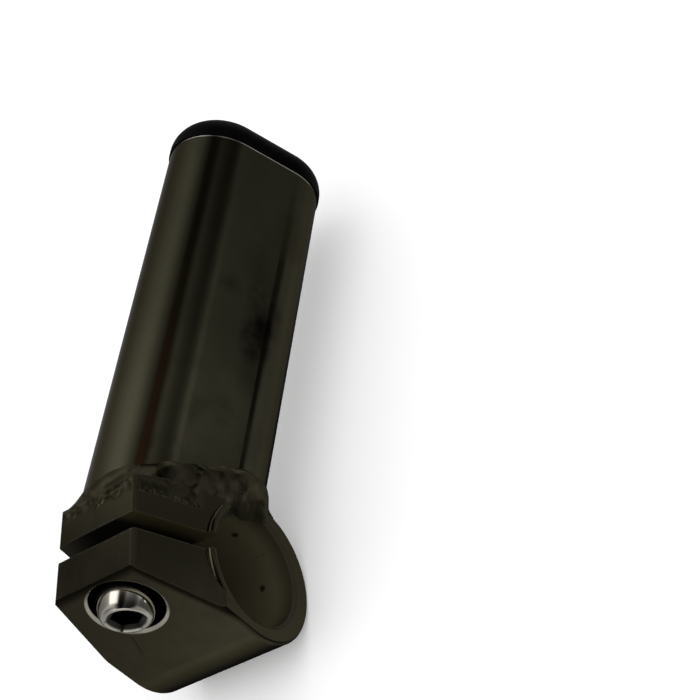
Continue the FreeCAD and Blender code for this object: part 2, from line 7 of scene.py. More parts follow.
import logging
import math
from dataclasses import dataclass
from enum import Enum
from functools import partial, reduce

import bmesh
import bpy
import numpy as np
from mathutils import Matrix, Vector

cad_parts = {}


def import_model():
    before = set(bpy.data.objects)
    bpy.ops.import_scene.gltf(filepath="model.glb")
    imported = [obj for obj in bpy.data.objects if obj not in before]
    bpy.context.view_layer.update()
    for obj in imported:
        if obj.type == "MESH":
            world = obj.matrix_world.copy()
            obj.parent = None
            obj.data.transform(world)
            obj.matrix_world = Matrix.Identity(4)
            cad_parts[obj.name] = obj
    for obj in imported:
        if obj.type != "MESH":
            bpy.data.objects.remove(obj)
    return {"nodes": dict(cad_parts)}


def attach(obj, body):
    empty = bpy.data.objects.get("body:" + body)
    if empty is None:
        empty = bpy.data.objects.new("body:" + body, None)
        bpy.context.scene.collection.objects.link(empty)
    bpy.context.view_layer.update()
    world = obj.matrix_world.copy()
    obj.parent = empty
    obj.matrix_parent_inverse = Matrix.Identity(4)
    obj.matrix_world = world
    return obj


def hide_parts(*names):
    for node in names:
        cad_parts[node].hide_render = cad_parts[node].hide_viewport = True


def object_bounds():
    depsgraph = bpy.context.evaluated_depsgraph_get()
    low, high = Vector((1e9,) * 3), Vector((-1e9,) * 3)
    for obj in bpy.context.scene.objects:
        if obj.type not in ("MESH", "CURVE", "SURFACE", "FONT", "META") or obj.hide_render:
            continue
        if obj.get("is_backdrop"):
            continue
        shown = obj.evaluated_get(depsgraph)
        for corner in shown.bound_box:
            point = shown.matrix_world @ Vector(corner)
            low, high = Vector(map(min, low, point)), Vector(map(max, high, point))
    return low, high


LOG = logging.getLogger("bar_end")
MM = 0.001
WHITE = (1.0, 1.0, 1.0, 1.0)
# Sockets of a Mix node that carry colours.
MIX_COLOURS = (6, 7)
MIX_RESULT = 2

Rgb = tuple[float, float, float]
Point = tuple[float, float, float]
Span = tuple[float, float]
Stops = tuple[Span, ...]
Socket = bpy.types.NodeSocket
Sockets = bpy.types.bpy_prop_collection
Input = Socket | float | tuple[float, ...]


class Slot(Enum):
    """Material slots of the record, one for each node."""

    CLAMP = "clamp"
    HORN = "horn_tube"
    WELD = "weld_bead"
    BOLT = "clamp_bolt"
    CAP = "tube_cap"
    PLUG = "bar_plug"


class Wiring:
    """Adds nodes to one node tree and joins them."""

    def __init__(self, tree: bpy.types.NodeTree) -> None:
        """Keep the tree.

        Args:
            tree: node tree of a material or a group.
        """
        self.tree = tree

    def node(self, kind: str, **settings: object) -> bpy.types.Node:
        """Add a node.

        Args:
            kind: node type without the ShaderNode prefix.
            settings: properties set on the node.

        Returns:
            The new node.
        """
        made = self.tree.nodes.new("ShaderNode" + kind)
        for name, value in settings.items():
            setattr(made, name, value)
        return made

    def feed(self, socket: Socket, value: Input) -> None:
        """Link an output socket to an input, or set the input to a plain value.

        Args:
            socket: input to feed.
            value: output socket, number, colour or vector.
        """
        if isinstance(value, Socket):
            self.tree.links.new(value, socket)
        else:
            socket.default_value = value

    def fill(self, node: bpy.types.Node, inputs: dict[str, Input]) -> None:
        """Feed several inputs of a node.

        Args:
            node: node to feed.
            inputs: values or sockets, by the inputs' names.
        """
        for name, value in inputs.items():
            self.feed(node.inputs[name], value)

    def math(self, operation: str, first: Input, second: Input = 0.0, clamp: bool = False) -> Socket:
        """One step of arithmetic.

        Args:
            operation: Math node operation.
            first: socket or number.
            second: socket or number.
            clamp: keep the result between 0 and 1.

        Returns:
            The result's socket.
        """
        step = self.node("Math", operation=operation, use_clamp=clamp)
        self.feed(step.inputs[0], first)
        self.feed(step.inputs[1], second)
        return step.outputs[0]

    def times(self, *values: Input) -> Socket:
        """Multiply values.

        Args:
            values: two or more sockets or numbers.

        Returns:
            The product's socket.
        """
        return reduce(partial(self.math, "MULTIPLY"), values)

    def plus(self, *values: Input) -> Socket:
        """Add values up.

        Args:
            values: two or more sockets or numbers.

        Returns:
            The sum's socket.
        """
        return reduce(partial(self.math, "ADD"), values)

    def most(self, *values: Input) -> Socket:
        """Pick the greatest value.

        Args:
            values: two or more sockets or numbers.

        Returns:
            The greatest one's socket.
        """
        return reduce(partial(self.math, "MAXIMUM"), values)

    def rest(self, mask: Input) -> Socket:
        """Turn a mask over.

        Args:
            mask: socket between 0 and 1.

        Returns:
            The socket of 1 less the mask.
        """
        return self.math("SUBTRACT", 1.0, mask)

    def vector(self, operation: str, first: Input, second: Input = (0.0, 0.0, 0.0),
               output: str = "Vector") -> Socket:
        """One step of vector arithmetic.

        Args:
            operation: Vector Math operation.
            first: socket or vector.
            second: socket or vector.
            output: name of the output wanted, Vector or Value.

        Returns:
            The result's socket.
        """
        step = self.node("VectorMath", operation=operation)
        self.feed(step.inputs[0], first)
        self.feed(step.inputs[1], second)
        return step.outputs[output]

    def band(self, value: Input, span: Span, start: float = 0.0, end: float = 1.0,
             origin: float = 0.0) -> Socket:
        """A smooth step of a value.

        Args:
            value: socket to read.
            span: where the step begins and ends.
            start: result before the span.
            end: result after it.
            origin: value from which the span is counted.

        Returns:
            The result's socket.
        """
        step = self.node("MapRange", interpolation_type="SMOOTHSTEP")
        self.fill(step, {"Value": value, "From Min": origin + span[0], "From Max": origin + span[1],
                         "To Min": start, "To Max": end})
        return step.outputs["Result"]

    def fade(self, value: Input, span: Span, level: float = 1.0, origin: float = 0.0) -> Socket:
        """A smooth step down to nothing.

        Args:
            value: socket to read.
            span: where the step begins and ends.
            level: result before the span.
            origin: value from which the span is counted.

        Returns:
            The result's socket.
        """
        return self.band(value, span, level, 0.0, origin)

    def noise(self, place: Input, scale: Input, detail: float = 3.0, roughness: float = 0.5) -> Socket:
        """Soft noise between 0 and 1.

        Args:
            place: vector socket.
            scale: features per unit of the vector.
            detail: octaves.
            roughness: weight of the fine octaves.

        Returns:
            The noise's socket.
        """
        texture = self.node("TexNoise")
        self.fill(texture, {"Vector": place, "Scale": scale, "Detail": detail, "Roughness": roughness})
        return texture.outputs["Fac"]

    def mix(self, amount: Input, first: Input, second: Input) -> Socket:
        """Blend two colours.

        Args:
            amount: 0 gives the first and 1 the second.
            first: colour or socket.
            second: colour or socket.

        Returns:
            The blended colour's socket.
        """
        blend = self.node("Mix", data_type="RGBA")
        self.feed(blend.inputs["Factor"], amount)
        for index, colour in zip(MIX_COLOURS, (first, second)):
            self.feed(blend.inputs[index], colour if isinstance(colour, Socket) else (*colour, 1.0))
        return blend.outputs[MIX_RESULT]

    def lerp(self, amount: Input, first: float, second: float) -> Socket:
        """Blend two plain numbers.

        Args:
            amount: 0 gives the first and 1 the second.
            first: a number.
            second: a number.

        Returns:
            The blended number's socket.
        """
        return self.plus(self.times(amount, second - first), first)

    def group(self, tree: bpy.types.NodeTree, **inputs: Input) -> bpy.types.Node:
        """Place a shared effect.

        Args:
            tree: the effect's node group.
            inputs: values or sockets for its named inputs.

        Returns:
            The group node.
        """
        placed = self.node("Group", node_tree=tree)
        self.fill(placed, {name.capitalize(): value for name, value in inputs.items()})
        return placed


class Effects:
    """Shared shader effects, each a node group that is built once."""

    def __init__(self) -> None:
        """Build the groups."""
        self.drawn_grain = self._drawn_grain()
        self.handling = self._handling()
        self.specks = self._specks()
        self.bare_edges = self._bare_edges()
        self.line_mark = self._line_mark()

    @staticmethod
    def _start(name: str, inputs: dict[str, str],
               outputs: tuple[str, ...]) -> tuple[Wiring, Sockets, Sockets]:
        """Begin a group.

        Args:
            name: group name.
            inputs: input names and the kind of each, Float or Vector.
            outputs: names of the value outputs.

        Returns:
            Its wiring, its input sockets and its output sockets.
        """
        tree = bpy.data.node_groups.new(name, "ShaderNodeTree")
        for label, kind in inputs.items():
            tree.interface.new_socket(label, in_out="INPUT", socket_type="NodeSocket" + kind)
        for label in outputs:
            tree.interface.new_socket(label, in_out="OUTPUT", socket_type="NodeSocketFloat")
        entry = tree.nodes.new("NodeGroupInput")
        way_out = tree.nodes.new("NodeGroupOutput")
        return Wiring(tree), entry.outputs, way_out.inputs

    def _drawn_grain(self) -> bpy.types.NodeTree:
        """Fine lines along the first axis of the place, with broad soft streaks under them.

        Returns:
            The group's tree.
        """
        wiring, given, out = self._start(
            "drawn_grain", {"Place": "Vector", "Fineness": "Float"}, ("Fine", "Broad"))
        fine_place = wiring.vector("MULTIPLY", given["Place"], (0.03, 1.0, 1.0))
        broad_place = wiring.vector("MULTIPLY", given["Place"], (0.006, 0.32, 0.32))
        wiring.feed(out["Fine"], wiring.noise(fine_place, given["Fineness"], detail=4.0, roughness=0.65))
        wiring.feed(out["Broad"], wiring.noise(broad_place, scale=1.0, detail=2.0, roughness=0.45))
        return wiring.tree

    def _handling(self) -> bpy.types.NodeTree:
        """Soft smudges from handling, and slow waves of the polished surface.

        Returns:
            The group's tree.
        """
        wiring, given, out = self._start("handling", {"Place": "Vector"}, ("Smudge", "Wave"))
        cloud = wiring.noise(given["Place"], scale=0.085, detail=4.0, roughness=0.6)
        wiring.feed(out["Smudge"], wiring.band(cloud, (0.46, 0.70)))
        wiring.feed(out["Wave"], wiring.noise(given["Place"], scale=0.07, detail=1.0, roughness=0.4))
        return wiring.tree

    def _specks(self) -> bpy.types.NodeTree:
        """Scattered dark specks: the inside of small cells that a coarse noise lets through.

        Returns:
            The group's tree.
        """
        wiring, given, out = self._start(
            "specks", {"Place": "Vector", "Fineness": "Float", "Amount": "Float"}, ("Mask",))
        cells = wiring.node("TexVoronoi")
        wiring.fill(cells, {"Vector": given["Place"], "Scale": given["Fineness"]})
        dot = wiring.fade(cells.outputs["Distance"], (0.10, 0.30))
        gate = wiring.plus(wiring.noise(given["Place"], scale=0.35, detail=2.0), given["Amount"])
        wiring.feed(out["Mask"], wiring.times(dot, wiring.band(gate, (0.62, 0.78))))
        return wiring.tree

    def _bare_edges(self) -> bpy.types.NodeTree:
        """Edges rubbed bright: where a rounded normal leaves the true one, broken up by noise.

        Returns:
            The group's tree.
        """
        wiring, given, out = self._start("bare_edges", {"Place": "Vector", "Width": "Float"}, ("Mask",))
        rounded = wiring.node("Bevel", samples=4)
        wiring.feed(rounded.inputs["Radius"], given["Width"])
        true = wiring.node("NewGeometry")
        agree = wiring.vector("DOT_PRODUCT", rounded.outputs["Normal"], true.outputs["Normal"], "Value")
        patchy = wiring.noise(given["Place"], scale=0.9, detail=4.0, roughness=0.65)
        broken = wiring.band(patchy, (0.36, 0.62))
        wiring.feed(out["Mask"], wiring.times(wiring.fade(agree, (0.80, 0.985)), broken))
        return wiring.tree

    def _line_mark(self) -> bpy.types.NodeTree:
        """A scratch: points nearer than a ragged width to the straight line between two points.

        Returns:
            The group's tree.
        """
        wiring, given, out = self._start(
            "line_mark", {"Place": "Vector", "Start": "Vector", "End": "Vector", "Width": "Float"}, ("Mask",))
        run = wiring.vector("SUBTRACT", given["End"], given["Start"])
        reach = wiring.vector("SUBTRACT", given["Place"], given["Start"])
        along = wiring.math("DIVIDE", wiring.vector("DOT_PRODUCT", reach, run, "Value"),
                            wiring.vector("DOT_PRODUCT", run, run, "Value"), clamp=True)
        nearest = wiring.node("VectorMath", operation="SCALE")
        wiring.feed(nearest.inputs[0], run)
        wiring.feed(nearest.inputs["Scale"], along)
        away = wiring.vector("DISTANCE", reach, nearest.outputs["Vector"], "Value")
        frayed = wiring.times(given["Width"], wiring.noise(given["Place"], scale=1.5, detail=2.0))
        part = wiring.math("DIVIDE", away, frayed)
        wiring.feed(out["Mask"], wiring.math("SUBTRACT", 1.0, part, clamp=True))
        return wiring.tree


@dataclass(frozen=True)
class Mark:
    """A straight mark on a surface."""

    start: Point
    end: Point
    width: float


@dataclass(frozen=True)
class Stain:
    """An oval stain, with its half sizes and how strong it is."""

    middle: Point
    half: Point
    strength: float


class Coat(Wiring):
    """The wiring of one material, with its shader and the surface point in millimetres."""

    def __init__(self, name: str, effects: Effects) -> None:
        """Start the material.

        Args:
            name: material name.
            effects: the shared effects.
        """
        self.material = bpy.data.materials.new(name)
        self.material.use_nodes = True
        super().__init__(self.material.node_tree)
        self.effects = effects
        self.shader = self.tree.nodes["Principled BSDF"]
        metres = self.node("TexCoord").outputs["Object"]
        self.place = self.vector("MULTIPLY", metres, (1 / MM, 1 / MM, 1 / MM))

    def set(self, inputs: dict[str, Input]) -> None:
        """Feed the shader.

        Args:
            inputs: values or sockets, by the names of the shader's inputs.
        """
        self.fill(self.shader, inputs)

    def bump(self, height: Socket, depth: float) -> None:
        """Raise the surface a little.

        Args:
            height: heights of about one unit.
            depth: height of one unit, in millimetres.
        """
        made = self.node("Bump")
        self.fill(made, {"Distance": depth * MM, "Height": height})
        self.set({"Normal": made.outputs["Normal"]})

    def mask(self, effect: bpy.types.NodeTree, **inputs: Input) -> Socket:
        """Read a shared effect's mask at the surface point.

        Args:
            effect: the effect's node group.
            inputs: values for its other inputs.

        Returns:
            The mask's socket.
        """
        return self.group(effect, place=self.place, **inputs).outputs["Mask"]

    def mark(self, line: Mark) -> Socket:
        """Read the mask of a straight mark.

        Args:
            line: the mark.

        Returns:
            The mask's socket.
        """
        return self.mask(self.effects.line_mark, start=line.start, end=line.end, width=line.width)

    def axes(self) -> tuple[Socket, Socket, Socket]:
        """Split the surface point.

        Returns:
            The sockets of its three coordinates.
        """
        split = self.node("SeparateXYZ")
        self.feed(split.inputs[0], self.place)
        return tuple(split.outputs)

    def aside(self, centre: Point, sides: Point) -> Socket:
        """Measure from a line along one axis.

        Args:
            centre: a point on the line.
            sides: 1 for each axis across the line and 0 for the one along it.

        Returns:
            The socket of the distance.
        """
        offset = self.vector("SUBTRACT", self.place, centre)
        return self.vector("LENGTH", self.vector("MULTIPLY", offset, sides), output="Value")


@dataclass(frozen=True)
class ClampShape:
    """Sizes of the split clamp that other pieces and finishes meet."""

    bore_r: float = 11.1
    ring_wall: float = 2.9
    ring_drop: float = 1.1
    clamp_len: float = 27.8
    mouth_chamfer: float = 0.7
    ear_reach: float = 26.3
    ear_span: float = 18.6
    ring_step: float = 1.3
    ear_back_open: float = 5.8
    ear_back_plug: float = 4.3
    slit_gap: float = 3.3
    bolt_edge: float = 7.7
    ear_under_head: float = 5.6
    sink_dia: float = 13.2
    sink_chamfer: float = 0.55

    @property
    def half_len(self) -> float:
        """Mid clamp to either end face."""
        return self.clamp_len / 2

    @property
    def ring_r(self) -> float:
        """Outer radius of the ring."""
        return self.bore_r + self.ring_wall

    @property
    def ear_high(self) -> float:
        """Top of the ring to the ends of the ears."""
        return self.ear_reach - (self.ring_r - self.ring_drop)

    @property
    def bolt_reach(self) -> float:
        """Bore axis to bolt axis."""
        return self.ear_reach - self.bolt_edge

    @property
    def head_seat(self) -> float:
        """Slit's middle to the seat of the bolt head."""
        return self.slit_gap / 2 + self.ear_under_head

    @property
    def touch(self) -> float:
        """Angle round the ring at which the flat sides of the ears leave it, in radians."""
        high = self.ear_reach + self.ring_drop
        half = self.ear_span / 2
        return math.atan2(high, half) - math.acos(self.ring_r / math.hypot(high, half))

    def face(self, z: np.ndarray) -> tuple[np.ndarray, np.ndarray]:
        """The clamp's side towards the horn: the ring's arc, then the straight side tangent to it.

        Args:
            z: heights.

        Returns:
            X of the side at each height, and its outward normals.
        """
        level = z + self.ring_drop
        round_part = level < self.ring_r * math.sin(self.touch)
        arc = np.sqrt(np.maximum(self.ring_r ** 2 - level ** 2, 0.0))
        straight = (self.ring_r - level * math.sin(self.touch)) / math.cos(self.touch)
        normal_x = np.where(round_part, arc / self.ring_r, math.cos(self.touch))
        normal_z = np.where(round_part, level / self.ring_r, math.sin(self.touch))
        return np.where(round_part, arc, straight), np.stack([normal_x, 0 * z, normal_z], axis=-1)

    def end(self, z: np.ndarray, open_side: np.ndarray) -> np.ndarray:
        """Mid clamp to its end on one side: full length at the ring, tapering along the ears.

        Args:
            z: heights.
            open_side: true where the open mouth's side is meant.

        Returns:
            Distances along the bore.
        """
        back = np.where(open_side, self.ear_back_open, self.ear_back_plug)
        slope = (back - self.ring_step) / self.ear_high
        return np.minimum(self.half_len, self.half_len - back + (self.ear_reach - z) * slope)


@dataclass(frozen=True)
class HornShape:
    """Sizes of the oval horn tube and where it stands."""

    wide: float = 34.3
    thick: float = 22.0
    reach: float = 93.0
    lean: float = 14.0
    twist: float = 18.0
    shift: float = 2.0
    edge: float = 0.55
    clamp: ClampShape = ClampShape()

    @property
    def flat(self) -> float:
        """Half the straight part of the oval."""
        return (self.wide - self.thick) / 2

    @property
    def foot(self) -> np.ndarray:
        """The point where the horn's axis starts, over the bore's axis."""
        rise = self.clamp.ear_reach - self.edge - self.thick / 2
        rise -= self.flat * math.cos(math.radians(self.twist))
        return np.array((0.0, self.shift, rise))

    @property
    def turn(self) -> np.ndarray:
        """Columns: the horn's axis, its oval's short side and its oval's long side."""
        lean = Matrix.Rotation(-math.radians(self.lean), 3, "Z")
        twist = Matrix.Rotation(-math.radians(self.twist), 3, "X")
        return np.array(lean @ twist)

    def outline(self, walk: np.ndarray) -> tuple[np.ndarray, np.ndarray]:
        """The oval, walked at even pace: half a flat, an arc, a flat, an arc, half a flat.

        Args:
            walk: place along the outline, from 0 to 1.

        Returns:
            Points and outward normals on the oval's two sides, one row each.
        """
        radius = self.thick / 2
        arc = math.pi * radius
        length = walk * (2 * arc + 4 * self.flat)
        ends = np.cumsum([self.flat, arc, 2 * self.flat, arc])
        angle = sum(np.clip((length - arc_start) / radius, 0, math.pi) for arc_start in ends[::2])
        middle = np.clip(length, 0, self.flat) - np.clip(length - ends[1], 0, 2 * self.flat)
        middle += np.clip(length - ends[3], 0, self.flat)
        normal = np.stack([np.cos(angle), np.sin(angle)], axis=-1)
        return np.stack([0 * middle, middle], axis=-1) + radius * normal, normal


def waves(walk: np.ndarray, across: np.ndarray, counts: tuple[int, ...], seed: int) -> np.ndarray:
    """Smooth bumps on a closed band: a sum of waves round the band, each bent across it.

    Args:
        walk: place round the band, from 0 to 1, which closes on itself.
        across: place across the band, from 0 to 1.
        counts: waves per turn, one for each term; later terms are weaker.
        seed: start of the random phases.

    Returns:
        Bump heights of about one unit.
    """
    chance = np.random.default_rng(seed)
    terms = np.array(counts, dtype=float)
    phase = chance.uniform(0, 2 * math.pi, (2, len(terms)))
    bend = chance.uniform(1.0, 5.0, len(terms))
    weight = (terms / terms[0]) ** -0.5
    round_part = np.sin(2 * math.pi * walk[..., None] * terms + phase[0] + bend * across[..., None])
    cross_part = np.cos(bend * across[..., None] * 2 + phase[1])
    return (round_part * cross_part * weight).sum(axis=-1) / weight.sum()


def skin(name: str, points: np.ndarray, closed: bool, sharp: float,
         poles: tuple[Point, ...] = ()) -> bpy.types.Object:
    """Make a mesh from a grid of points whose columns run round and close.

    Args:
        name: piece name.
        points: rows by columns by three, in millimetres.
        closed: the last row joins the first one.
        sharp: edges bent by more than this many degrees stay sharp.
        poles: first and last point that close the two ends, where rows don't join.

    Returns:
        The object, linked into the scene.
    """
    rows, columns = points.shape[:2]
    index = np.arange(rows * columns).reshape(rows, columns)
    low = index if closed else index[:-1]
    high = np.roll(index, -1, axis=0) if closed else index[1:]
    quads = np.stack([low, high, np.roll(high, -1, axis=1), np.roll(low, -1, axis=1)], axis=-1)
    corners = points.reshape(-1, 3)
    faces = quads.reshape(-1, 4).tolist()
    for pole, row in zip(poles, (index[0], index[-1])):
        centre = np.full(columns, len(corners))
        corners = np.vstack([corners, pole])
        faces += np.stack([centre, row, np.roll(row, -1)], axis=-1).tolist()
    mesh = bpy.data.meshes.new(name)
    mesh.from_pydata((corners * MM).tolist(), [], faces)
    work = bmesh.new()
    work.from_mesh(mesh)
    bmesh.ops.recalc_face_normals(work, faces=work.faces)
    work.to_mesh(mesh)
    work.free()
    mesh.shade_smooth()
    mesh.set_sharp_from_angle(angle=math.radians(sharp))
    piece = bpy.data.objects.new(name, mesh)
    bpy.context.scene.collection.objects.link(piece)
    return piece


@dataclass(frozen=True)
class Finish:
    """A metal or plastic surface: its colour, how rough it is, whether it is metal and its relief."""

    colour: Rgb
    roughness: float
    metallic: float
    relief: float


@dataclass(frozen=True)
class DarkAnodised(Finish):
    """Polished aluminium with a dark olive anodised layer."""

    colour: Rgb = (0.047, 0.043, 0.027)
    roughness: float = 0.13
    metallic: float = 1.0
    relief: float = 0.12
    smudged: Rgb = (0.036, 0.032, 0.020)
    edge_on: Rgb = (0.53, 0.52, 0.50)
    smudge_tone: float = 0.7
    smudge_rough: float = 0.05
    streak_tone: float = 0.35
    streak_edge: Span = (0.35, 0.65)
    grain_fineness: float = 3.0
    grain_rough: float = 0.05
    grain_relief: float = 0.02

    def base(self, coat: Coat) -> tuple[Socket, Socket]:
        """Colour and roughness with smudges and streaks; sets the edge-on tint too.

        Args:
            coat: the material's wiring, its place with the first axis along the polishing.

        Returns:
            The sockets of the colour and of the roughness.
        """
        coat.set({"Specular Tint": (*self.edge_on, 1.0)})
        grain = coat.group(coat.effects.drawn_grain, place=coat.place, fineness=self.grain_fineness)
        smudge = coat.group(coat.effects.handling, place=coat.place).outputs["Smudge"]
        streak = coat.band(grain.outputs["Broad"], self.streak_edge)
        tone = coat.most(coat.times(smudge, self.smudge_tone), coat.times(streak, self.streak_tone))
        rough = coat.plus(coat.lerp(smudge, self.roughness, self.roughness + self.smudge_rough),
                          coat.times(grain.outputs["Fine"], self.grain_rough))
        return coat.mix(tone, self.colour, self.smudged), rough

    def polish(self, coat: Coat) -> None:
        """Raise the polishing's fine lines over its slow waves.

        Args:
            coat: the material's wiring, its place with the first axis along the polishing.
        """
        grain = coat.group(coat.effects.drawn_grain, place=coat.place, fineness=self.grain_fineness)
        wave = coat.group(coat.effects.handling, place=coat.place).outputs["Wave"]
        coat.bump(coat.plus(coat.times(grain.outputs["Fine"], self.grain_relief), wave), self.relief)


class ClampCoat(Coat):
    """The clamp's wiring, with sockets that tell where on the clamp the surface point lies."""

    def __init__(self, shape: ClampShape, effects: Effects) -> None:
        """Start the material and work the places out.

        Args:
            shape: sizes of the clamp.
            effects: the shared effects.
        """
        super().__init__("clamp_anodised", effects)
        self.shape = shape
        self.x, self.y, self.z = self.axes()
        self.from_bolt = self.aside((0.0, 0.0, shape.bolt_reach), (0.0, 1.0, 1.0))
        self.from_bore = self.aside((0.0, 0.0, 0.0), (1.0, 0.0, 1.0))
        # Distance in from the ears' ends, and from their tapered edge on the open side.
        self.from_tip = self.math("SUBTRACT", shape.ear_reach, self.z)
        taper = (shape.ear_back_open - shape.ring_step) / shape.ear_high
        tip_end = shape.half_len - shape.ear_back_open
        self.from_brink = self.plus(self.y, self.times(self.from_tip, taper), tip_end)


@dataclass(frozen=True)
class ClampFinish(DarkAnodised):
    """The clamp's finish: rubbed edges, bare counterbore rim, dull bore, specks of dirt, weld spill and one
    scratch, with painted shade in the counterbore's pocket, deep in the slit and at the bore's mouth, and a
    painted dark reflection along the edges round the bolt head.

    A span named edge, deep or low is where a mask comes in or goes out.
    """

    worn: Rgb = (0.16, 0.15, 0.12)
    bare: Rgb = (0.50, 0.48, 0.40)
    dull: Rgb = (0.085, 0.078, 0.044)
    shaded: Rgb = (0.028, 0.025, 0.015)
    raw: Rgb = (0.030, 0.025, 0.011)
    # Near black: dirt specks, the scratch and the weld's rind, and also painted shade in the counterbore's
    # pocket and deep in the slit.
    grime_and_shade: Rgb = (0.004, 0.0035, 0.003)
    # Dark: the weld spill's stain, and the painted dark reflection along the bolt face's edges.
    stain_and_dark_reflection: Rgb = (0.008, 0.006, 0.004)
    gloss: float = 0.1
    rub_width: float = 0.5
    rub_tone: float = 0.5
    rub_rough: float = 0.5
    rim_inner_edge: Span = (0.02, 0.12)
    rim_outer_edge: Span = (-0.1, 0.1)
    rim_deep: Span = (-0.5, -0.2)
    rim_tone: float = 0.85
    rim_diffuse: float = 0.6
    pocket_deep: Span = (-3.0, -2.5)
    bore_edge: Span = (0.02, 0.1)
    chamfer_edge: Span = (0.05, 0.2)
    mouth_shade_deep: Span = (0.7, 5.0)
    mouth_shade: float = 0.9
    slit_edge: Span = (0.03, 0.08)
    # Where the painted shade deep in the slit comes in, and how far it weakens towards the plugged end.
    slit_deep: Span = (2.0, 5.0)
    slit_far_deep: Span = (2.5, 8.0)
    slit_far_dark: float = 0.45
    hollow_metallic: float = 0.2
    hollow_rough: float = 0.6
    corner_tip_edge: Span = (0.2, 1.2)
    corner_brink_edge: Span = (0.2, 0.9)
    # Painted dark reflection along the end and open edges of the bolt face: where it fades and how strong.
    tip_reflection_deep: Span = (0.3, 2.4)
    tip_reflection: float = 0.85
    brink_reflection_deep: Span = (0.5, 1.9)
    brink_reflection: float = 0.95
    bolt_side_edge: Span = (0.3, 0.55)
    speck_fineness: float = 0.7
    speck_amount: float = 0.02
    speck_tone: float = 0.9
    spots: tuple[Point, ...] = ((3.06, -6.6, -10.66), (10.85, -6.9, -2.33))
    spot_edge: Span = (0.3, 0.9)
    scratch: Mark = Mark((-11.85, 4.8, 12.1), (-12.7, 6.5, 7.4), 0.5)
    scratch_tone: float = 0.6
    spill: float = 7.0
    spill_ragged: float = 2.0
    spill_edge: Span = (0.0, 1.3)
    spill_low: Span = (13.0, 15.0)
    spill_relief: float = 0.6
    rind_edge: Span = (0.6, 1.0)
    rind_breaks_edge: Span = (0.52, 0.64)
    rind_tones: Span = (0.05, 0.6)
    crust_edge: Span = (0.5, 0.62)
    crust_tone: float = 0.5
    crust_relief: float = 2.0

    def counterbore(self, coat: ClampCoat) -> tuple[Socket, Socket]:
        """Masks of the counterbore's bare rim and of the painted shade in the pocket inside it.

        Args:
            coat: the clamp's wiring.

        Returns:
            The two masks' sockets.
        """
        sink_r = coat.shape.sink_dia / 2
        inner = coat.band(coat.from_bolt, self.rim_inner_edge, origin=sink_r)
        outer = coat.fade(coat.from_bolt, self.rim_outer_edge, origin=sink_r + coat.shape.sink_chamfer)
        head_ear = coat.fade(coat.x, self.rim_deep, origin=-coat.shape.head_seat)
        pocket = coat.times(coat.rest(inner), coat.fade(coat.x, self.pocket_deep))
        return coat.times(inner, outer, head_ear), pocket

    def hollows(self, coat: ClampCoat) -> tuple[Socket, Socket]:
        """Masks of the bore with its chamfer and of the slit's faces.

        Args:
            coat: the clamp's wiring.

        Returns:
            The two masks' sockets.
        """
        mouth_r = coat.shape.bore_r + coat.shape.mouth_chamfer
        bore = coat.fade(coat.from_bore, self.bore_edge, origin=mouth_r)
        slit = coat.fade(coat.math("ABSOLUTE", coat.x), self.slit_edge, origin=coat.shape.slit_gap / 2)
        above = coat.math("GREATER_THAN", coat.z, 0.0)
        return bore, coat.times(slit, above, coat.rest(bore))

    def hollow_colours(self, coat: ClampCoat) -> tuple[Socket, Socket]:
        """Colours of the bore, shaded at its mouth, and of the slit, with painted shade away from its brink.

        Args:
            coat: the clamp's wiring.

        Returns:
            The two colours' sockets.
        """
        chamfer = coat.band(coat.from_bore, self.chamfer_edge, origin=coat.shape.bore_r)
        mouth = coat.fade(coat.y, self.mouth_shade_deep, self.mouth_shade, origin=-coat.shape.half_len)
        # Painted shade deep in the narrow slit, weaker towards the plugged end.
        far = coat.band(coat.y, self.slit_far_deep, 1.0, self.slit_far_dark)
        slit_shade = coat.times(coat.band(coat.from_brink, self.slit_deep), far)
        bore_colour = coat.mix(coat.most(chamfer, mouth), self.dull, self.shaded)
        return bore_colour, coat.mix(slit_shade, self.raw, self.grime_and_shade)

    def painted_edge_reflection(self, coat: ClampCoat) -> Socket:
        """Painted dark reflection along the edges of the ear's face round the bolt head.

        Args:
            coat: the clamp's wiring.

        Returns:
            The mask's socket.
        """
        # Painted dark reflection, strongest right at the open edge and at the ears' end.
        darkening = coat.most(coat.fade(coat.from_brink, self.brink_reflection_deep, self.brink_reflection),
                         coat.fade(coat.from_tip, self.tip_reflection_deep, self.tip_reflection))
        normal = coat.node("NewGeometry").outputs["True Normal"]
        facing = coat.vector("DOT_PRODUCT", normal, (-1.0, 0.0, 0.0), "Value")
        head_ear = coat.math("LESS_THAN", coat.x, -coat.shape.head_seat)
        return coat.times(darkening, coat.band(facing, self.bolt_side_edge), head_ear)

    def bore_dirt(self, coat: ClampCoat) -> Socket:
        """Fine specks and a few larger spots.

        Args:
            coat: the clamp's wiring.

        Returns:
            The mask's socket.
        """
        darkening = coat.mask(coat.effects.specks, fineness=self.speck_fineness, amount=self.speck_amount)
        for spot in self.spots:
            near = coat.vector("DISTANCE", coat.place, spot, "Value")
            darkening = coat.most(darkening, coat.fade(near, self.spot_edge))
        return darkening

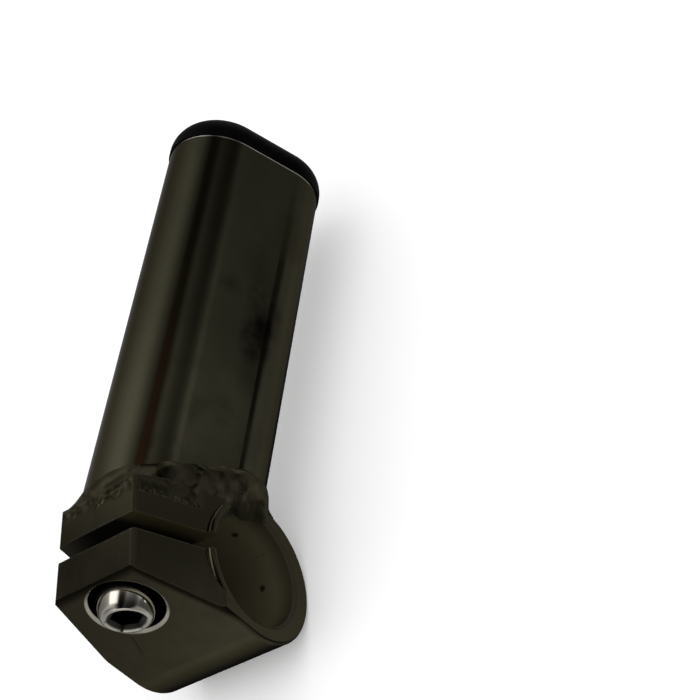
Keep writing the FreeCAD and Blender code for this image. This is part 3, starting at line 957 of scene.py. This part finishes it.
    def spilled(self, coat: ClampCoat, colour: Socket) -> Socket:
        """Weld run over the end of the upper ear: a broken dark rind, stained crust and its relief.

        Args:
            coat: the clamp's wiring.
            colour: the colour so far.

        Returns:
            The socket of the colour with the spill.
        """
        border = coat.plus(coat.x, coat.times(coat.noise(coat.place, scale=0.45), self.spill_ragged))
        weld = coat.times(coat.band(border, self.spill_edge, origin=self.spill),
                          coat.band(coat.z, self.spill_low))
        rind = coat.fade(border, self.rind_edge, origin=self.spill)
        gaps = coat.noise(coat.place, scale=0.3, detail=2.0)
        broken = coat.band(gaps, self.rind_breaks_edge, *self.rind_tones)
        colour = coat.mix(coat.times(weld, rind, broken), colour, self.grime_and_shade)
        crust = coat.noise(coat.place, scale=0.4, detail=1.5)
        lumps = coat.plus(coat.times(crust, self.crust_relief), self.spill_relief)
        coat.bump(coat.times(weld, lumps), self.relief)
        stain = coat.times(coat.band(crust, self.crust_edge), weld, self.crust_tone)
        return coat.mix(stain, colour, self.stain_and_dark_reflection)

    def material(self, shape: ClampShape, effects: Effects) -> bpy.types.Material:
        """The clamp's material.

        Args:
            shape: sizes of the clamp.
            effects: the shared effects.

        Returns:
            The material.
        """
        coat = ClampCoat(shape, effects)
        colour, rough = self.base(coat)
        rubbed = coat.mask(effects.bare_edges, width=self.rub_width * MM)
        rim, pocket = self.counterbore(coat)
        bore, slit = self.hollows(coat)
        bore_colour, slit_colour = self.hollow_colours(coat)
        layers = (
            (coat.times(rubbed, self.rub_tone), self.worn),
            (coat.times(rim, self.rim_tone), self.bare),
            # Painted shade: the counterbore's pocket round the bolt head goes near black.
            (pocket, self.grime_and_shade),
            (bore, bore_colour),
            (slit, slit_colour),
            # Painted dark reflection along the edges of the face round the bolt head.
            (self.painted_edge_reflection(coat), self.stain_and_dark_reflection),
            (coat.times(self.bore_dirt(coat), bore, self.speck_tone), self.grime_and_shade),
            (coat.times(coat.mark(self.scratch), self.scratch_tone), self.grime_and_shade),
        )
        for mask, layer in layers:
            colour = coat.mix(mask, colour, layer)

        hollow = coat.most(bore, slit)
        diffuse = coat.most(hollow, coat.times(rim, self.rim_diffuse))
        corner = coat.times(coat.fade(coat.from_tip, self.corner_tip_edge),
                            coat.fade(coat.from_brink, self.corner_brink_edge))
        dulled = coat.most(coat.times(coat.most(hollow, corner), self.hollow_rough),
                           coat.times(rubbed, self.rub_rough))
        coat.set({
            "Base Color": self.spilled(coat, colour),
            "Metallic": coat.lerp(diffuse, self.metallic, self.hollow_metallic),
            "Roughness": coat.most(rough, dulled),
            "Specular IOR Level": self.gloss,
        })
        return coat.material


@dataclass(frozen=True)
class HornFinish(DarkAnodised):
    """The horn's finish: streaks along the tube, faint stains and a bright bare rim at its cut end."""

    colour: Rgb = (0.0465, 0.0440, 0.0280)
    smudged: Rgb = (0.0355, 0.0330, 0.0205)
    bare: Rgb = (0.75, 0.73, 0.66)
    rim: float = 0.45
    rim_ragged: float = 0.2
    stain: Rgb = (0.007, 0.006, 0.005)
    stain_edge: Span = (0.45, 1.45)
    stain_ragged: float = 1.1
    stains: tuple[Stain, ...] = (
        Stain((51.5, -11.0, -4.9), (14.0, 4.0, 6.4), 1.0),
        Stain((58.5, -11.0, 3.2), (3.8, 4.0, 3.8), 0.5),
        Stain((66.0, -11.0, -2.0), (12.0, 4.0, 6.0), 0.2),
    )

    def material(self, shape: HornShape, effects: Effects) -> bpy.types.Material:
        """The horn's material, its place counted along the horn's own axes.

        Args:
            shape: sizes of the horn.
            effects: the shared effects.

        Returns:
            The material.
        """
        coat = Coat("horn_anodised", effects)
        offset = coat.vector("SUBTRACT", coat.place, tuple(shape.foot))
        parts = [coat.vector("DOT_PRODUCT", offset, tuple(axis), "Value") for axis in shape.turn.T]
        local = coat.node("CombineXYZ")
        for socket, part in zip(local.inputs, parts):
            coat.feed(socket, part)
        coat.place = local.outputs[0]
        colour, rough = self.base(coat)
        self.polish(coat)

        ragged = coat.times(coat.noise(coat.place, scale=0.28), self.stain_ragged)
        for stain in self.stains:
            away = coat.vector("DIVIDE", coat.vector("SUBTRACT", coat.place, stain.middle), stain.half)
            reach = coat.plus(coat.vector("LENGTH", away, output="Value"), ragged)
            colour = coat.mix(coat.fade(reach, self.stain_edge, stain.strength), colour, self.stain)
        uneven = coat.times(coat.noise(coat.place, scale=0.5, detail=4.0), self.rim_ragged)
        along = coat.plus(parts[0], uneven)
        end = coat.band(along, (-self.rim, -self.rim / 2), origin=shape.reach)
        coat.set({
            "Base Color": coat.mix(end, colour, self.bare),
            "Metallic": self.metallic,
            "Roughness": rough,
        })
        return coat.material


@dataclass(frozen=True)
class WeldFinish(DarkAnodised):
    """The weld's finish: the same dark layer over a lumpy, pitted bead."""

    colour: Rgb = (0.060, 0.055, 0.035)
    roughness: float = 0.24
    relief: float = 0.3
    darkening: Rgb = (0.006, 0.005, 0.004)
    lump_edge: Span = (0.35, 0.7)
    lump_rough: Span = (-0.08, 0.16)
    pit_fineness: float = 0.9
    pit_amount: float = 0.035
    pit_tone: float = 0.9
    pit_relief: float = 0.4
    seams: tuple[Mark, ...] = (
        Mark((5.5, -9.6, 20.3), (11.0, -12.2, 15.0), 1.2),
        Mark((15.5, -12.2, 15.5), (13.6, -12.5, 12.8), 2.0),
    )

    def material(self, effects: Effects) -> bpy.types.Material:
        """The weld's material.

        Args:
            effects: the shared effects.

        Returns:
            The material.
        """
        coat = Coat("weld_anodised", effects)
        lumps = coat.noise(coat.place, scale=0.30, detail=1.6)
        pits = coat.mask(effects.specks, fineness=self.pit_fineness, amount=self.pit_amount)
        for seam in self.seams:
            pits = coat.most(pits, coat.mark(seam))
        colour = coat.mix(coat.band(lumps, self.lump_edge), self.smudged, self.colour)
        smooth, coarse = (self.roughness + change for change in self.lump_rough)
        coat.set({
            "Base Color": coat.mix(coat.times(pits, self.pit_tone), colour, self.darkening),
            "Metallic": self.metallic,
            "Roughness": coat.lerp(lumps, smooth, coarse),
            "Specular Tint": (*self.edge_on, 1.0),
        })
        coat.bump(coat.math("SUBTRACT", lumps, coat.times(pits, self.pit_relief)), self.relief)
        return coat.material


@dataclass(frozen=True)
class BrightPlate(Finish):
    """Bright plated steel, with faint haze and specks, grime and painted shade in the socket, and painted
    shade low round the head.
    """

    colour: Rgb = (0.42, 0.40, 0.35)
    roughness: float = 0.03
    metallic: float = 1.0
    relief: float = 0.05
    # Near black: dirt specks, grime with painted shade in the socket, and painted shade low round the head.
    grime_and_shade: Rgb = (0.012, 0.010, 0.008)
    grime_and_shade_tone: float = 0.97
    grime_and_shade_rough: float = 0.4
    speck_fineness: float = 1.6
    speck_amount: float = 0.05
    speck_tone: float = 0.4
    haze: float = 0.12
    # Where the socket's grime and painted shade come in, and the painted shade low round the head's side.
    socket_edge: Span = (-0.15, 0.0)
    socket_deep: Span = (0.05, 0.35)
    socket_end: Span = (4.5, 5.0)
    low_shade_deep: Span = (2.7, 3.5)
    low_shade_side: Span = (3.3, 3.6)
    low_shade_tone: float = 0.75

    def material(self, effects: Effects, reach: float, top: float, opening: float) -> bpy.types.Material:
        """The bolt's material.

        Args:
            effects: the shared effects.
            reach: bore axis to bolt axis.
            top: slit's middle to the head's end.
            opening: radius of the dish round the socket.

        Returns:
            The material.
        """
        coat = Coat("bolt_plate", effects)
        hands = coat.group(effects.handling, place=coat.place)
        specks = coat.mask(effects.specks, fineness=self.speck_fineness, amount=self.speck_amount)
        aside = coat.aside((-top, 0.0, reach), (0.0, 1.0, 1.0))
        depth = coat.plus(coat.axes()[0], top)
        # Grime and painted shade in the socket and the dish round it.
        socket = coat.times(coat.fade(aside, self.socket_edge, origin=opening),
                            coat.band(depth, self.socket_deep), coat.fade(depth, self.socket_end))
        # Painted shade low round the head's side, towards its seat.
        low = coat.times(coat.band(depth, self.low_shade_deep, end=self.low_shade_tone), coat.band(aside, self.low_shade_side))
        socket_and_low_shade = coat.times(coat.most(socket, low), self.grime_and_shade_tone)
        specks_and_shade = coat.most(coat.times(specks, self.speck_tone), socket_and_low_shade)
        hazy = coat.most(specks_and_shade, coat.times(hands.outputs["Smudge"], self.haze))
        coat.set({
            "Base Color": coat.mix(specks_and_shade, self.colour, self.grime_and_shade),
            "Metallic": self.metallic,
            "Roughness": coat.lerp(hazy, self.roughness, self.grime_and_shade_rough),
        })
        coat.bump(hands.outputs["Wave"], self.relief)
        return coat.material


@dataclass(frozen=True)
class BlackMoulding(Finish):
    """Moulded black plastic or rubber with a fine matt grain; bending is its index of refraction."""

    colour: Rgb = (0.0005, 0.0005, 0.0007)
    roughness: float = 0.4
    metallic: float = 0.0
    relief: float = 0.08
    bending: float = 1.3
    worn: Rgb = (0.003, 0.003, 0.003)
    rub_width: float = 0.6
    rub_tone: float = 0.6
    dust_tone: float = 0.35
    grain: float = 2.2
    grain_rough: Span = (-0.1, 0.15)

    def material(self, name: str, effects: Effects) -> bpy.types.Material:
        """A moulded piece's material.

        Args:
            name: material name.
            effects: the shared effects.

        Returns:
            The material.
        """
        coat = Coat(name, effects)
        grain = coat.noise(coat.place, self.grain, detail=5.0, roughness=0.7)
        rubbed = coat.mask(effects.bare_edges, width=self.rub_width * MM)
        dust = coat.group(effects.handling, place=coat.place).outputs["Smudge"]
        tone = coat.most(coat.times(rubbed, self.rub_tone), coat.times(dust, self.dust_tone))
        smooth, coarse = (self.roughness + change for change in self.grain_rough)
        coat.set({
            "Base Color": coat.mix(tone, self.colour, self.worn),
            "Metallic": self.metallic,
            "Roughness": coat.lerp(grain, smooth, coarse),
            "IOR": self.bending,
        })
        coat.bump(grain, self.relief)
        return coat.material


def dress_node(node: bpy.types.Object, material: bpy.types.Material) -> None:
    """Give a CAD node its finish.

    Args:
        node: the node's object.
        material: its material.
    """
    for place in node.material_slots:
        place.material = material
    LOG.info("dressed %s with %s", node.name, material.name)


@dataclass
class WeldBead:
    """The weld round the horn's foot, in place of the plain bead."""

    clamp: ClampShape
    horn: HornShape
    leg_clamp: float = 2.1
    leg_clamp_wander: float = 0.22
    leg_horn: float = 4.9
    leg_horn_wander: float = 0.13
    fullness: float = 0.30
    hung_fullness: float = 0.60
    hung_bulge: float = 0.55
    sunk: float = 0.30
    lump: float = 0.30
    ripple: float = 0.03
    ripple_pitch: float = 2.3
    ripple_bow: float = 2.5
    sharp: float = 70.0
    columns: int = 520
    rows: int = 30

    def seam(self, walk: np.ndarray) -> tuple[np.ndarray, np.ndarray, np.ndarray, np.ndarray]:
        """Where the horn's wall meets the clamp: each line along the horn run to the clamp's side.

        Args:
            walk: place round the oval, from 0 to 1.

        Returns:
            Points of the seam, outward normals of the horn, the clamp's normals, and the direction on
            the clamp's side that leads away from the horn.
        """
        oval, sides = self.horn.outline(walk)
        axis = self.horn.turn[:, 0]
        start = self.horn.foot + oval @ self.horn.turn[:, 1:].T
        outward = sides @ self.horn.turn[:, 1:].T
        face_x, face_normal = self.clamp.face(start[:, 2])
        run = (face_x - start[:, 0]) / axis[0]
        away = outward - (outward * face_normal).sum(axis=1, keepdims=True) * face_normal
        away /= np.linalg.norm(away, axis=1, keepdims=True)
        return start + run[:, None] * axis, outward, face_normal, away

    def toe(self, seam: np.ndarray, away: np.ndarray, normal: np.ndarray,
            leg: np.ndarray) -> tuple[np.ndarray, np.ndarray]:
        """The bead's edge on the clamp: a leg out along its side, then back round its end if it runs over.

        Args:
            seam: points of the seam.
            away: directions along the clamp's side.
            normal: the clamp's normals.
            leg: leg lengths.

        Returns:
            Points just under the clamp's surface, and how far each one would have hung over the end.
        """
        point = seam + away * leg[:, None]
        point[:, 2] = np.minimum(point[:, 2], self.clamp.ear_reach - self.sunk / 2)
        end = self.clamp.end(point[:, 2], point[:, 1] < 0)
        over = np.maximum(np.abs(point[:, 1]) - end, 0)
        hand = np.sign(point[:, 1])
        face_x, _ = self.clamp.face(point[:, 2])
        back = over + np.minimum(leg, 2 * over)
        wrapped = np.stack([face_x - back, hand * (end - self.sunk), point[:, 2]], axis=-1)
        return np.where(over[:, None] > 0, wrapped, point - normal * self.sunk), over

    def build(self) -> bpy.types.Object:
        """Carry the bead's section round the seam.

        The section is a quadratic curve from the toe on the horn, bent by a point a little outside the
        seam, to the toe on the clamp; lumps and ripples push its middle out. A root point inside both
        parts closes it.

        Returns:
            The bead's object.
        """
        walk = np.linspace(0, 1, self.columns, endpoint=False)
        seam, outward, normal, away = self.seam(walk)
        axis = self.horn.turn[:, 0]
        flat = np.zeros_like(walk)
        leg_horn = self.leg_horn * (1 + self.leg_horn_wander * waves(walk, flat, (5, 9, 17), seed=3))
        leg_clamp = self.leg_clamp * (1 + self.leg_clamp_wander * waves(walk, flat, (7, 11, 19), seed=5))
        on_horn = seam + axis * leg_horn[:, None] - outward * self.sunk
        on_clamp, over = self.toe(seam, away, normal, leg_clamp)
        hung = np.clip(over / self.leg_clamp, 0, 1)[:, None]
        fullness = self.fullness + (self.hung_fullness - self.fullness) * hung
        bend = seam + fullness * (axis * leg_horn[:, None] + away * leg_clamp[:, None])
        bend += outward * over[:, None] * self.hung_bulge
        root = seam - outward - normal

        across = np.linspace(0, 1, self.rows)[:, None]
        part = across[..., None]
        curve = (1 - part) ** 2 * on_horn + 2 * part * (1 - part) * bend + part ** 2 * on_clamp
        push = axis + away
        push /= np.linalg.norm(push, axis=1, keepdims=True)
        spread = np.broadcast_to(walk, (self.rows, self.columns))
        height = self.lump * waves(spread, across + 0 * spread, (7, 11, 17, 26), seed=8)
        length = math.pi * self.horn.thick + 4 * self.horn.flat
        turns = round(length / self.ripple_pitch)
        height += self.ripple * np.cos(2 * math.pi * turns * spread + self.ripple_bow * (across - 0.5) ** 2)
        curve += (height * np.sin(math.pi * across) ** 2)[..., None] * push
        curve[..., 2] = np.minimum(curve[..., 2], self.clamp.ear_reach)
        return skin("weld_bead_lumpy", np.concatenate([curve, root[None]]), closed=True, sharp=self.sharp)

    def dress(self, piece: bpy.types.Object, effects: Effects) -> None:
        """Finish the bead and put it in the plain one's place.

        Args:
            piece: the bead's object.
            effects: the shared effects.
        """
        piece.data.materials.append(WeldFinish().material(effects))
        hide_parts(Slot.WELD.value)
        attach(piece, "root")
        LOG.info("built %s with %d faces", piece.name, len(piece.data.polygons))


@dataclass
class ClampBolt:
    """The socket head bolt with its rolled thread, in place of the plain bolt."""

    clamp: ClampShape
    shank_r: float = 3.0
    shank_len: float = 16.0
    tip: float = 0.8
    head_r: float = 5.3
    head_high: float = 6.0
    head_round: float = 1.5
    head_crown: float = 4.6
    head_edge: float = 0.25
    socket_flats: float = 5.0
    socket_deep: float = 3.2
    socket_dish: float = 0.8
    socket_cone: float = 0.5
    pitch: float = 1.0
    thread_deep: float = 0.5
    thread_crest: float = 1.5
    sharp: float = 38.0
    sides: int = 96
    round_steps: int = 9
    thread_steps: int = 12

    @property
    def socket_r(self) -> float:
        """Radius of the socket's corners."""
        return self.socket_flats / math.sqrt(3)

    def profile(self) -> tuple[np.ndarray, np.ndarray, np.ndarray]:
        """Rows from the socket's floor over the head and down to the thread's start.

        Returns:
            Distance of each row along the bolt from the seat, its radius where it is round, and how far
            it is a hexagon instead, from 0 to 1.
        """
        bend = np.linspace(0, math.pi / 2, self.round_steps)
        top = -self.head_high
        round_x = top + self.head_crown * (1 - np.cos(bend))
        round_r = self.head_r - self.head_round * (1 - np.sin(bend))
        socket_x = [top + self.socket_deep, top + self.socket_dish, top]
        socket_r = [self.socket_r, self.socket_r, self.socket_r + self.socket_dish]
        base_r = [self.head_r, self.head_r - self.head_edge, self.shank_r]
        along = np.concatenate([socket_x, round_x, [-self.head_edge, 0.0, 0.0]])
        radius = np.concatenate([socket_r, round_r, base_r])
        hexed = np.concatenate([[1.0, 1.0], np.zeros(len(along) - 2)])
        return along, radius, hexed

    def build(self) -> bpy.types.Object:
        """Turn the profile round the bolt's axis and run a thread down the shank.

        The hexagon's radius is half its flats over the cosine of the angle from the nearest flat. The
        thread's radius falls from the crest by a rounded wave of the distance along the bolt less one
        pitch per turn, and fades at both ends.

        Returns:
            The bolt's object.
        """
        angle = np.linspace(0, 2 * math.pi, self.sides, endpoint=False)
        along, radius, hexed = self.profile()
        sixth = math.pi / 3
        hexagon = self.socket_flats / 2 / np.cos((angle + sixth / 2) % sixth - sixth / 2)
        head_r = (1 - hexed[:, None]) * radius[:, None] + hexed[:, None] * hexagon
        head_x = np.broadcast_to(along[:, None], head_r.shape)

        run = np.arange(0, self.shank_len - self.tip, self.pitch / self.thread_steps)[1:]
        turn_place = run[:, None] / self.pitch - angle / (2 * math.pi)
        groove = (0.5 - 0.5 * np.cos(2 * math.pi * turn_place)) ** self.thread_crest
        fade = np.clip(np.minimum(run, self.shank_len - self.tip - run) / self.pitch, 0, 1)
        shank_r = self.shank_r - self.thread_deep * groove * fade[:, None]
        shank_x = np.broadcast_to(run[:, None], shank_r.shape)
        tip_r = np.full((1, self.sides), self.shank_r - self.tip)
        tip_x = np.full((1, self.sides), self.shank_len)

        rows_r = np.concatenate([head_r, shank_r, tip_r])
        rows_x = np.concatenate([head_x, shank_x, tip_x]) - self.clamp.head_seat
        rows_y = rows_r * np.cos(angle)
        rows_z = rows_r * np.sin(angle) + self.clamp.bolt_reach
        points = np.stack([rows_x, rows_y, rows_z], axis=-1)
        floor_x = self.socket_deep - self.head_high - self.clamp.head_seat + self.socket_cone
        poles = ((floor_x, 0.0, self.clamp.bolt_reach),
                 (self.shank_len - self.clamp.head_seat, 0.0, self.clamp.bolt_reach))
        return skin("clamp_bolt_threaded", points, closed=False, sharp=self.sharp, poles=poles)

    def dress(self, piece: bpy.types.Object, effects: Effects) -> None:
        """Finish the bolt and put it in the plain one's place.

        Args:
            piece: the bolt's object.
            effects: the shared effects.
        """
        opening = self.socket_r + self.socket_dish
        top = self.clamp.head_seat + self.head_high
        piece.data.materials.append(BrightPlate().material(effects, self.clamp.bolt_reach, top, opening))
        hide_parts(Slot.BOLT.value)
        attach(piece, "root")
        LOG.info("built %s with %d faces", piece.name, len(piece.data.polygons))


class Action(Enum):
    """What a patch does to the tent's light."""

    SCALE = "scale"
    ADD = "add"


@dataclass(frozen=True)
class TentPatch:
    """A brighter or darker place on the tent: a card where power is high, a soft spot where it is 2.

    Its weight falls off as the exponential of minus the sum of both offsets, each over its half size and
    raised to the power. Angles are degrees, places along the tent are in tent radii.
    """

    angle: float
    along: float
    half_angle: float
    half_along: float
    change: float
    power: float = 2.0
    action: Action = Action.SCALE
    tint: Rgb = (1.0, 1.0, 1.0)

    def apply(self, light: np.ndarray, angle: np.ndarray, along: np.ndarray) -> np.ndarray:
        """Change the light.

        Args:
            light: red, green and blue at each place.
            angle: degrees round the horn's line.
            along: place along the line, in tent radii.

        Returns:
            The changed light.
        """
        turned = np.abs((angle - self.angle + 180) % 360 - 180) / self.half_angle
        moved = np.abs(along - self.along) / self.half_along
        weight = self.change * np.exp(-turned ** self.power - moved ** self.power)[..., None]
        if self.action is Action.ADD:
            return light + weight * np.array(self.tint)
        return light * (1 + weight)


@dataclass
class Studio:
    """Camera, floor, lamp, white surroundings and the light tent that polished metal mirrors."""

    horn: HornShape
    camera_place: Point = (-123.67, -137.77, 161.38)
    camera_right: Point = (-0.0748, -0.8123, -0.5784)
    camera_up: Point = (0.7575, -0.4235, 0.4968)
    camera_near: float = 10.0
    focal_pixels: float = 1303.7
    frame_pixels: float = 700.0
    sensor: float = 36.0
    floor_half: float = 4000.0
    floor_colour: Rgb = (0.90, 0.90, 0.90)
    floor_roughness: float = 0.9
    floor_glow: float = 0.15
    lamp_place: Point = (-100.0, 50.0, 900.0)
    lamp_side: float = 1200.0
    lamp_watts: float = 1.6
    tent_r: float = 3000.0
    tent_half: float = 3.2
    tent_rows: int = 65
    tent_fine: Span = (0.2, 1.3)
    tent_fine_step: float = 0.02
    # Levels of light round the tent, by degrees, and along it, by tent radii.
    tent_round: Stops = (
        (-180, 0.22), (-171, 0.36), (-165, 0.66), (-160, 0.46), (-155, 0.45), (-142, 0.46), (-135, 0.50),
        (-118, 0.50), (-99, 0.72), (-72, 0.75), (-45, 0.72), (-30, 0.60), (0, 0.60), (36, 0.60), (57, 0.76),
        (76, 1.02), (90, 1.05), (104, 0.80), (118, 0.44), (126, 0.06), (138, 0.07), (149, 0.48), (164, 0.27),
        (176, 0.19), (180, 0.22))
    tent_along: Stops = (
        (-3.2, 0.9), (0.0, 1.0), (0.45, 1.25), (0.53, 1.25), (0.64, 0.92), (0.78, 0.78), (3.2, 0.66))
    tent_patches: tuple[TentPatch, ...] = (
        # Dark cards.
        TentPatch(-147.4, 0.50, 5.4, 0.25, -0.95, power=8.0),
        TentPatch(-143.8, 0.68, 8.8, 0.075, -0.99, power=8.0),
        TentPatch(153.0, 2.2, 44.0, 1.42, -0.92, power=8.0),
        TentPatch(153.0, -1.3, 44.0, 1.66, -0.90, power=8.0),
        TentPatch(25.0, -0.02, 58.0, 0.32, -0.55, power=8.0),
        TentPatch(-125.0, -0.02, 45.0, 0.32, -0.75, power=8.0),
        TentPatch(-39.0, 0.2, 25.0, 0.55, -0.9, power=4.0),
        # Soft dark spots.
        TentPatch(70.0, -1.0, 45.0, 0.5, -0.75),
        TentPatch(-38.0, 0.45, 40.0, 0.8, -0.99),
        TentPatch(57.0, 0.375, 14.0, 0.06, -0.95),
        TentPatch(-154.0, 0.83, 12.0, 0.04, -0.25),
        TentPatch(-100.0, 0.53, 45.0, 0.07, -0.18),
        TentPatch(-149.5, 1.025, 11.0, 0.045, -0.98),
        TentPatch(-20.0, -1.3, 7.0, 0.4, -0.30),
        # Soft bright spots.
        TentPatch(80.0, 0.53, 25.0, 0.06, 0.22),
        TentPatch(-165.0, 0.535, 35.0, 0.07, 0.70),
        TentPatch(155.0, 0.53, 18.0, 0.06, 0.35),
        TentPatch(-154.0, 0.75, 12.0, 0.04, 0.25),
        TentPatch(-100.0, 0.72, 45.0, 0.09, 0.30),
        TentPatch(-147.0, 0.945, 8.0, 0.03, 1.2),
        TentPatch(-38.0, -1.2, 7.0, 0.4, 0.65),
        # Light added on top, first a card for the bolt's highlight and last two warm glows.
        TentPatch(100.0, 0.05, 17.0, 0.33, 1.7, power=8.0, action=Action.ADD),
        TentPatch(-138.0, 0.31, 5.0, 0.05, 2.0, action=Action.ADD),
        TentPatch(137.0, 1.14, 8.0, 0.12, 0.6, action=Action.ADD),
        TentPatch(131.0, 0.47, 7.0, 0.12, 0.40, action=Action.ADD, tint=(1.0, 0.36, 0.16)),
        TentPatch(130.0, 0.76, 7.0, 0.08, 0.05, action=Action.ADD, tint=(1.0, 0.75, 0.3)))

    def camera(self) -> None:
        """Put the camera where the photograph was taken from."""
        data = bpy.data.cameras.new("camera")
        data.sensor_width = self.sensor
        data.lens = self.focal_pixels * self.sensor / self.frame_pixels
        data.clip_start = self.camera_near * MM
        camera = bpy.data.objects.new("camera", data)
        right = Vector(self.camera_right).normalized()
        back = right.cross(Vector(self.camera_up)).normalized()
        turn = Matrix((right, back.cross(right), back)).transposed().to_4x4()
        camera.matrix_world = Matrix.Translation(Vector(self.camera_place) * MM) @ turn
        bpy.context.scene.collection.objects.link(camera)
        bpy.context.scene.camera = camera

    def world(self) -> None:
        """Even white surroundings."""
        world = bpy.data.worlds.new("studio")
        world.use_nodes = True
        bpy.context.scene.world = world
        light = world.node_tree.nodes["Background"]
        light.inputs["Color"].default_value = WHITE
        light.inputs["Strength"].default_value = 1.0

    def floor(self, level: float) -> None:
        """A plain pale floor just under the part.

        Args:
            level: height of the part's lowest point, in metres.
        """
        half = self.floor_half * MM
        corners = [(-half, -half, level), (half, -half, level), (half, half, level), (-half, half, level)]
        mesh = bpy.data.meshes.new("floor")
        mesh.from_pydata(corners, [], [(0, 1, 2, 3)])
        floor = bpy.data.objects.new("floor", mesh)
        material = bpy.data.materials.new("floor_paint")
        material.use_nodes = True
        wiring = Wiring(material.node_tree)
        seen = wiring.node("LightPath").outputs["Is Camera Ray"]
        wiring.fill(material.node_tree.nodes["Principled BSDF"], {
            "Base Color": (*self.floor_colour, 1.0),
            "Roughness": self.floor_roughness,
            "Emission Color": WHITE,
            "Emission Strength": wiring.times(seen, self.floor_glow),
        })
        mesh.materials.append(material)
        floor.visible_glossy = False
        bpy.context.scene.collection.objects.link(floor)
        floor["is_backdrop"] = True

    def lamp(self) -> None:
        """One broad soft lamp high over the part, pointed at it."""
        data = bpy.data.lights.new("soft_lamp", "AREA")
        data.shape = "SQUARE"
        data.size = self.lamp_side * MM
        data.energy = self.lamp_watts
        lamp = bpy.data.objects.new("soft_lamp", data)
        place = Vector(self.lamp_place) * MM
        turn = (-place).to_track_quat("-Z", "Y").to_matrix().to_4x4()
        lamp.matrix_world = Matrix.Translation(place) @ turn
        lamp.visible_glossy = False
        bpy.context.scene.collection.objects.link(lamp)

    def tent_light(self, angle: np.ndarray, along: np.ndarray) -> np.ndarray:
        """Light of the tent: soft strips round it, times a level along it, changed by each patch.

        Args:
            angle: degrees round the horn's line.
            along: place along the line, in tent radii.

        Returns:
            Red, green and blue at each place.
        """
        strips = np.interp(angle, *np.transpose(self.tent_round))
        level = strips * np.interp(along, *np.transpose(self.tent_along))
        light = np.repeat(level[..., None], 3, axis=-1)
        for patch in self.tent_patches:
            light = patch.apply(light, angle, along)
        return light

    def tent(self) -> None:
        """A long round tent about the horn's line, bright and dark in strips, that only gloss sees.

        A grid of angles round the horn and places along it, with the light kept as a colour at each point.
        """
        fine = np.arange(*self.tent_fine, self.tent_fine_step)
        coarse = np.linspace(-self.tent_half, self.tent_half, self.tent_rows)
        rows = np.union1d(fine, coarse[(coarse < fine[0]) | (coarse > fine[-1])])
        degrees, along = np.meshgrid(np.arange(-180, 181, 1.0), rows)
        angle = np.radians(degrees)[..., None]
        turn = self.horn.turn
        around = np.cos(angle) * turn[:, 1] + np.sin(angle) * turn[:, 2]
        points = self.horn.foot + self.tent_r * (around + along[..., None] * turn[:, 0])
        index = np.arange(degrees.size).reshape(degrees.shape)
        quads = np.stack([index[:-1, :-1], index[:-1, 1:], index[1:, 1:], index[1:, :-1]], axis=-1)
        mesh = bpy.data.meshes.new("light_tent")
        mesh.from_pydata((points.reshape(-1, 3) * MM).tolist(), [], quads.reshape(-1, 4).tolist())
        light_map = mesh.color_attributes.new("light", "FLOAT_COLOR", "POINT")
        shown = np.ones((degrees.size, 4), dtype=np.float32)
        shown[:, :3] = self.tent_light(degrees, along).reshape(-1, 3)
        light_map.data.foreach_set("color", shown.ravel())
        tent = bpy.data.objects.new("light_tent", mesh)
        for ray in ("camera", "diffuse", "transmission", "volume_scatter", "shadow"):
            setattr(tent, "visible_" + ray, False)

        material = bpy.data.materials.new("tent_light")
        material.use_nodes = True
        nodes = material.node_tree.nodes
        nodes.remove(nodes["Principled BSDF"])
        wiring = Wiring(material.node_tree)
        light = wiring.node("Emission")
        wiring.feed(light.inputs["Color"], wiring.node("Attribute", attribute_name="light").outputs["Color"])
        wiring.feed(nodes["Material Output"].inputs["Surface"], light.outputs[0])
        mesh.materials.append(material)
        bpy.context.scene.collection.objects.link(tent)
        tent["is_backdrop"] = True

    def build(self, level: float) -> None:
        """Set up the whole studio.

        Args:
            level: height of the part's lowest point, in metres.
        """
        bpy.context.scene.view_settings.view_transform = "Standard"
        self.camera()
        self.world()
        self.floor(level)
        self.lamp()
        self.tent()
        LOG.info("studio set up on a floor at %.1f mm", level / MM)


def main() -> None:
    """Load the frame, dress its nodes, add the new pieces and light them."""
    logging.basicConfig(level=logging.INFO, format="%(name)s: %(message)s")
    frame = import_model()
    first = [[float(part) for part in corner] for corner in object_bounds()]
    nodes = frame["nodes"]
    effects = Effects()
    clamp = ClampShape()
    horn = HornShape(clamp=clamp)

    dress_node(nodes[Slot.CLAMP.value], ClampFinish().material(clamp, effects))
    dress_node(nodes[Slot.HORN.value], HornFinish().material(horn, effects))
    dress_node(nodes[Slot.CAP.value], BlackMoulding(bending=1.07).material("cap_moulding", effects))
    plug_finish = BlackMoulding(roughness=0.55, grain=1.4)
    dress_node(nodes[Slot.PLUG.value], plug_finish.material("plug_rubber", effects))
    for part in (WeldBead(clamp, horn), ClampBolt(clamp)):
        part.dress(part.build(), effects)

    Studio(horn).build(first[0][2])


if __name__ == "__main__":
    main()
